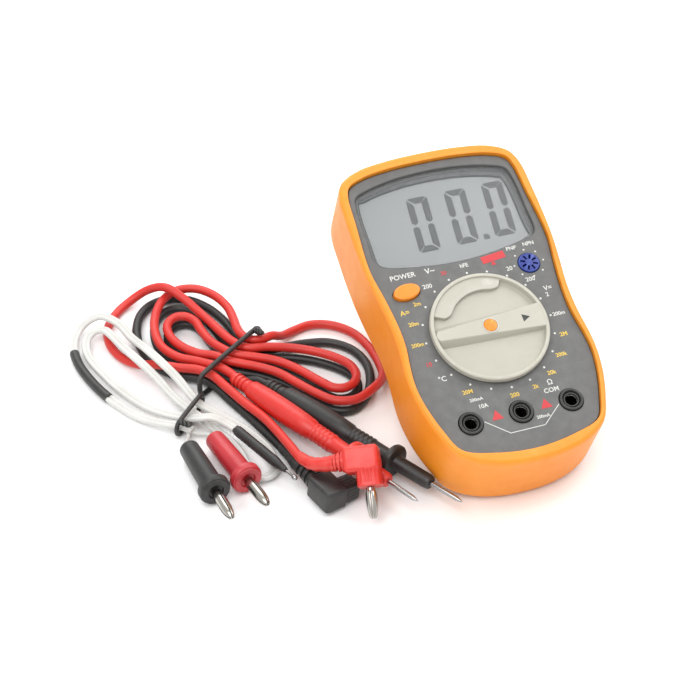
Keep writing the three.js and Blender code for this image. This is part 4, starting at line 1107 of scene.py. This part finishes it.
def makePlug(colour, look):
    x = Vector(look["inward"]).normalized()
    y = -Vector(look["pin"])
    y = (y - x * y.dot(x)).normalized()
    turn = Matrix((x, y, x.cross(y))).transposed().to_4x4()
    space = leadsSpace @ Matrix.Translation(look["elbow"]) @ turn
    head = block("head", plugHead["size"], plugHead["middle"], plugHead["edge"], 4)
    reach = look["reach"]
    rows = [(0, -reach), (2.5, -reach), (2.75, -reach + 0.3)]
    ribFrom, ribs = plugHead["ribFrom"], plugHead["ribs"]
    step = (reach - ribFrom) / ribs
    for i in range(ribs):
        z = -reach + 0.4 + i * step
        wide = 2.7 + 0.35 * i
        rows += [(wide, z), (wide + 0.15, z + step * 0.55), (wide - 0.45, z + step * 0.62),
            (wide - 0.4, z + step * 0.95)]
    relief = moved(turned("relief", rows + [(4, -ribFrom), (4.1, -7.4), (0, -7.2)], 32),
        Matrix.Rotation(math.pi / 2, 4, "Y"))
    fluted = []
    around = plugHead["around"]
    angles = -np.arange(around) * 2 * math.pi / around
    square = 1 / (np.abs(np.cos(angles)) ** 4 + np.abs(np.sin(angles)) ** 4) ** 0.25
    for narrower, z, depth in [(0, 0, 0), (0.05, 4, 0), (0.1, 4.4, 0.3), (0.15, 8.4, 0.3), (0.15, 8.9, 0),
        (0.2, 9.7, 0), (0.5, 10, 0)]:
        r = (look["barrel"] - narrower) * square - depth * (0.5 + 0.5 * np.cos(angles * plugHead["flutes"]))
        fluted.append(np.column_stack([r * np.cos(angles), r * np.sin(angles), np.full(around, z)]))
    barrel = moved(loft("barrel", fluted), Matrix.Rotation(math.pi / 2, 4, "X"))
    body = combine(head, "UNION", [relief, barrel])
    body.name = body.data.name = f"{colour}_plug"
    settle(body, "test_leads", look["finish"], [f"{colour}_plug_body"], space, 36)
    pin = slitPin(f"{colour}_pin", [
        (0, 10.3), (1.7, 10.3), (1.7, 11.4), (1.95, 12), (2.1, 14.6), (1.95, 17.6), (1.7, 19), (1.5, 20.2),
        (1.1, 21),
        (0.6, 21.2), (0, 21.2)], 16.8, 11)
    settle(moved(pin, Matrix.Rotation(math.pi / 2, 4, "X")), "test_leads", "nickel", [f"{colour}_plug_pin"],
        space)


makeProbes()
for colour, look in plugLook.items():
    makePlug(colour, look)
print("probes and plugs made")

# the thermocouple's plugs and tip
thermoLook = {
    "black": {"rear": (-108.6, 3, 4.6), "front": (-105.4, -27, 6.5), "finish": "blackPlastic"},
    "red": {"rear": (-98.4, 4.6, 4.6), "front": (-92.6, -25.6, 6.5), "finish": "darkRedPlastic"},
    "sleeveFrom": (-89.4, 6.6, 4.4), "sleeveTo": (-80.2, -18.6, 6.2),
}


def makeThermocouple():
    rows = [(0, 0), (2.6, 0), (3.3, 0.15), (3.65, 0.6), (3.75, 1.4), (4.05, 12), (4.2, 21.6), (4.25, 23.2)]
    rows += [(4.6, 23.4), (5.5, 23.6), (5.9, 24), (5.9, 25.9), (5.6, 26.5), (5.1, 26.7), (5, 27), (3, 27),
        (2.8, 26.3), (0, 26.3)]
    for colour in ("black", "red"):
        look = thermoLook[colour]
        aim = leadsSpace @ aimed(look["rear"], look["front"])
        settle(turned(f"thermocouple_plug_{colour}", rows, 44), "thermocouple_lead", look["finish"],
            [f"thermo_plug_{colour}"], aim, 40)
        pin = slitPin(f"thermocouple_pin_{colour}", [
            (0, 27.3), (1.8, 27.3), (1.8, 28.6), (2.1, 30), (2.1, 37), (1.8, 39.4), (1.2, 41.2), (0.6, 41.8),
            (0, 41.8)],
            36, 13)
        settle(pin, "thermocouple_lead", "nickel", [f"thermo_pin_{colour}"], aim)
    aim = leadsSpace @ aimed(thermoLook["sleeveFrom"], thermoLook["sleeveTo"])
    sleeve = turned("probe_sleeve", [(0, 0.3), (1.7, 0.3), (1.95, 0.9), (2, 2), (2, 23), (1.9, 24.4),
        (1.2, 28.6), (0.9, 30), (0, 30)], 32)
    settle(sleeve, "thermocouple_lead", "blackPlastic", ["thermo_sleeve"], aim)
    bead = turned("probe_bead", [(0, 30.3), (0.5, 30.3), (0.5, 33.6), (0.85, 34.3), (1, 35), (0.8, 35.8),
        (0.4, 36.2), (0, 36.2)], 24)
    settle(bead, "thermocouple_lead", "steel", ["thermo_bead"], aim)


tieLook = {"corner": 2.6, "strandOff": 0.75, "strandThin": 0.72, "strandUp": 0.6, "strandPoints": 24}


def makeTie(name, tie, replaced, body, tail):  # a rounded loop of wire with its ends twisted together
    look = tieLook
    radius, corner = tail["radius"], look["corner"]
    half, low, high = tie["halfWidth"] + 0.1, radius + 0.02, tie["high"] + 0.1
    loop = []
    for u, v, start in ((half, high, 0), (-half, high, 90), (-half, low, 180), (half, low, 270)):
        for step in range(5):
            angle = math.radians(start + step * 22.5)
            loop.append((u - math.copysign(corner, u) + corner * math.cos(angle), 0,
                         v + (corner if v == low else -corner) + corner * math.sin(angle)))
    band = bareWire("band", loop, radius, 0.9, True)
    strands = [band]
    for side in (-1, 1):
        strand = []
        for i in range(look["strandPoints"] + 1):
            share = i / look["strandPoints"]
            angle = share * tail["turns"] * 2 * math.pi + (math.pi if side > 0 else 0)
            off = look["strandOff"] * radius
            height = high + radius * look["strandUp"] + off * math.sin(angle)
            strand.append((tail["at"] + off * math.cos(angle), -share * tail["length"], height))
        strands.append(bareWire("strand", strand, radius * look["strandThin"], 0.7))
    obj = joined(name, strands)
    space = leadsSpace @ Matrix.Translation((*tie["at"], 0)) @ Matrix.Rotation(tie["angle"], 4, "Z")
    settle(obj, body, "blackPlastic", [replaced], space, 60)


makeThermocouple()
makeTie("lead_twist", leadTie, "lead_tie", "test_leads", {"at": 15, "length": 4, "turns": 1.5, "radius": 1.0})
makeTie("thermocouple_twist", thermoTie, "thermo_tie", "thermocouple_lead",
    {"at": -8, "length": 5, "turns": 1.5, "radius": 0.9})
print("thermocouple and ties made")

# the CAD nodes that stay
nodeFinish = {
    "rear_case": "greyShell", "battery_door": "greyShell", "battery": "batteryCan",
    "battery_snap": "blackShell", "battery_lead_red": "redRubber", "battery_lead_black": "blackRubber",
    "lcd_frame": "blackShell", "zebra_strip": "redRubber", "circuit_board": "boardGreen",
    "fuse": "fuseGlass", "fuse_clip_left": "brass", "fuse_clip_right": "brass", "buzzer": "blackShell",
    "current_shunt": "brass", "contact_rotor": "whitePlastic", "contact_wiper_1": "brass",
    "contact_wiper_2": "brass", "detent_ball_left": "steel", "detent_ball_right": "steel",
    "switch_plunger": "whitePlastic", "power_switch": "blackShell", "battery_door_screw": "steel",
    "case_screw_1": "steel", "case_screw_2": "steel", "case_screw_3": "steel", "case_screw_4": "steel",
}
for nodeName, finishName in nodeFinish.items():
    for slot in frame["nodes"][nodeName].material_slots:
        slot.material = finishes[finishName].material

# the cords' lengths, measured once more and not kept
for colour, cord, line in (("red", redCord, redLine), ("black", blackCord, blackLine)):
    lineLength(line)
lineLength(thermoLine)

# floor, light
studio = {"floor": 6, "sky": 0.85, "lamps": [
    ((-0.55, -0.35, 1.1), 1.0, 9), ((0.7, 0.1, 1.0), 0.9, 6), ((0.0, 0.9, 0.9), 0.9, 6)]}


def makeStudio():
    clearSelection()
    bpy.ops.mesh.primitive_plane_add(size=studio["floor"], location=(0, 0, -0.0002))
    floor = justAdded("floor")
    bpy.ops.object.transform_apply(location=True, rotation=False, scale=False)
    paper = Finish("floorPaper", None)
    paper.shade(Base_Color=paper.mix(paper.noise(3, 2), (0.95, 0.95, 0.95, 1), (0.92, 0.92, 0.92, 1)),
        Roughness=0.8)
    floor.data.materials.append(paper.material)
    world = bpy.data.worlds.new("studio")
    world.use_nodes = True
    world.node_tree.nodes["Background"].inputs["Color"].default_value = (1, 1, 1, 1)
    world.node_tree.nodes["Background"].inputs["Strength"].default_value = studio["sky"]
    bpy.context.scene.world = world
    bpy.context.scene.view_settings.view_transform = "Standard"
    for number, (place, size, power) in enumerate(studio["lamps"]):
        lamp = bpy.data.lights.new(f"lamp_{number}", "AREA")
        lamp.shape, lamp.size, lamp.energy = "DISK", size, power
        obj = bpy.data.objects.new(f"lamp_{number}", lamp)
        obj.location = place
        obj.rotation_euler = (Vector((-0.03, 0, 0.03)) - Vector(place)).to_track_quat("-Z", "Y").to_euler()
        bpy.context.scene.collection.objects.link(obj)


makeStudio()
print("studio made")
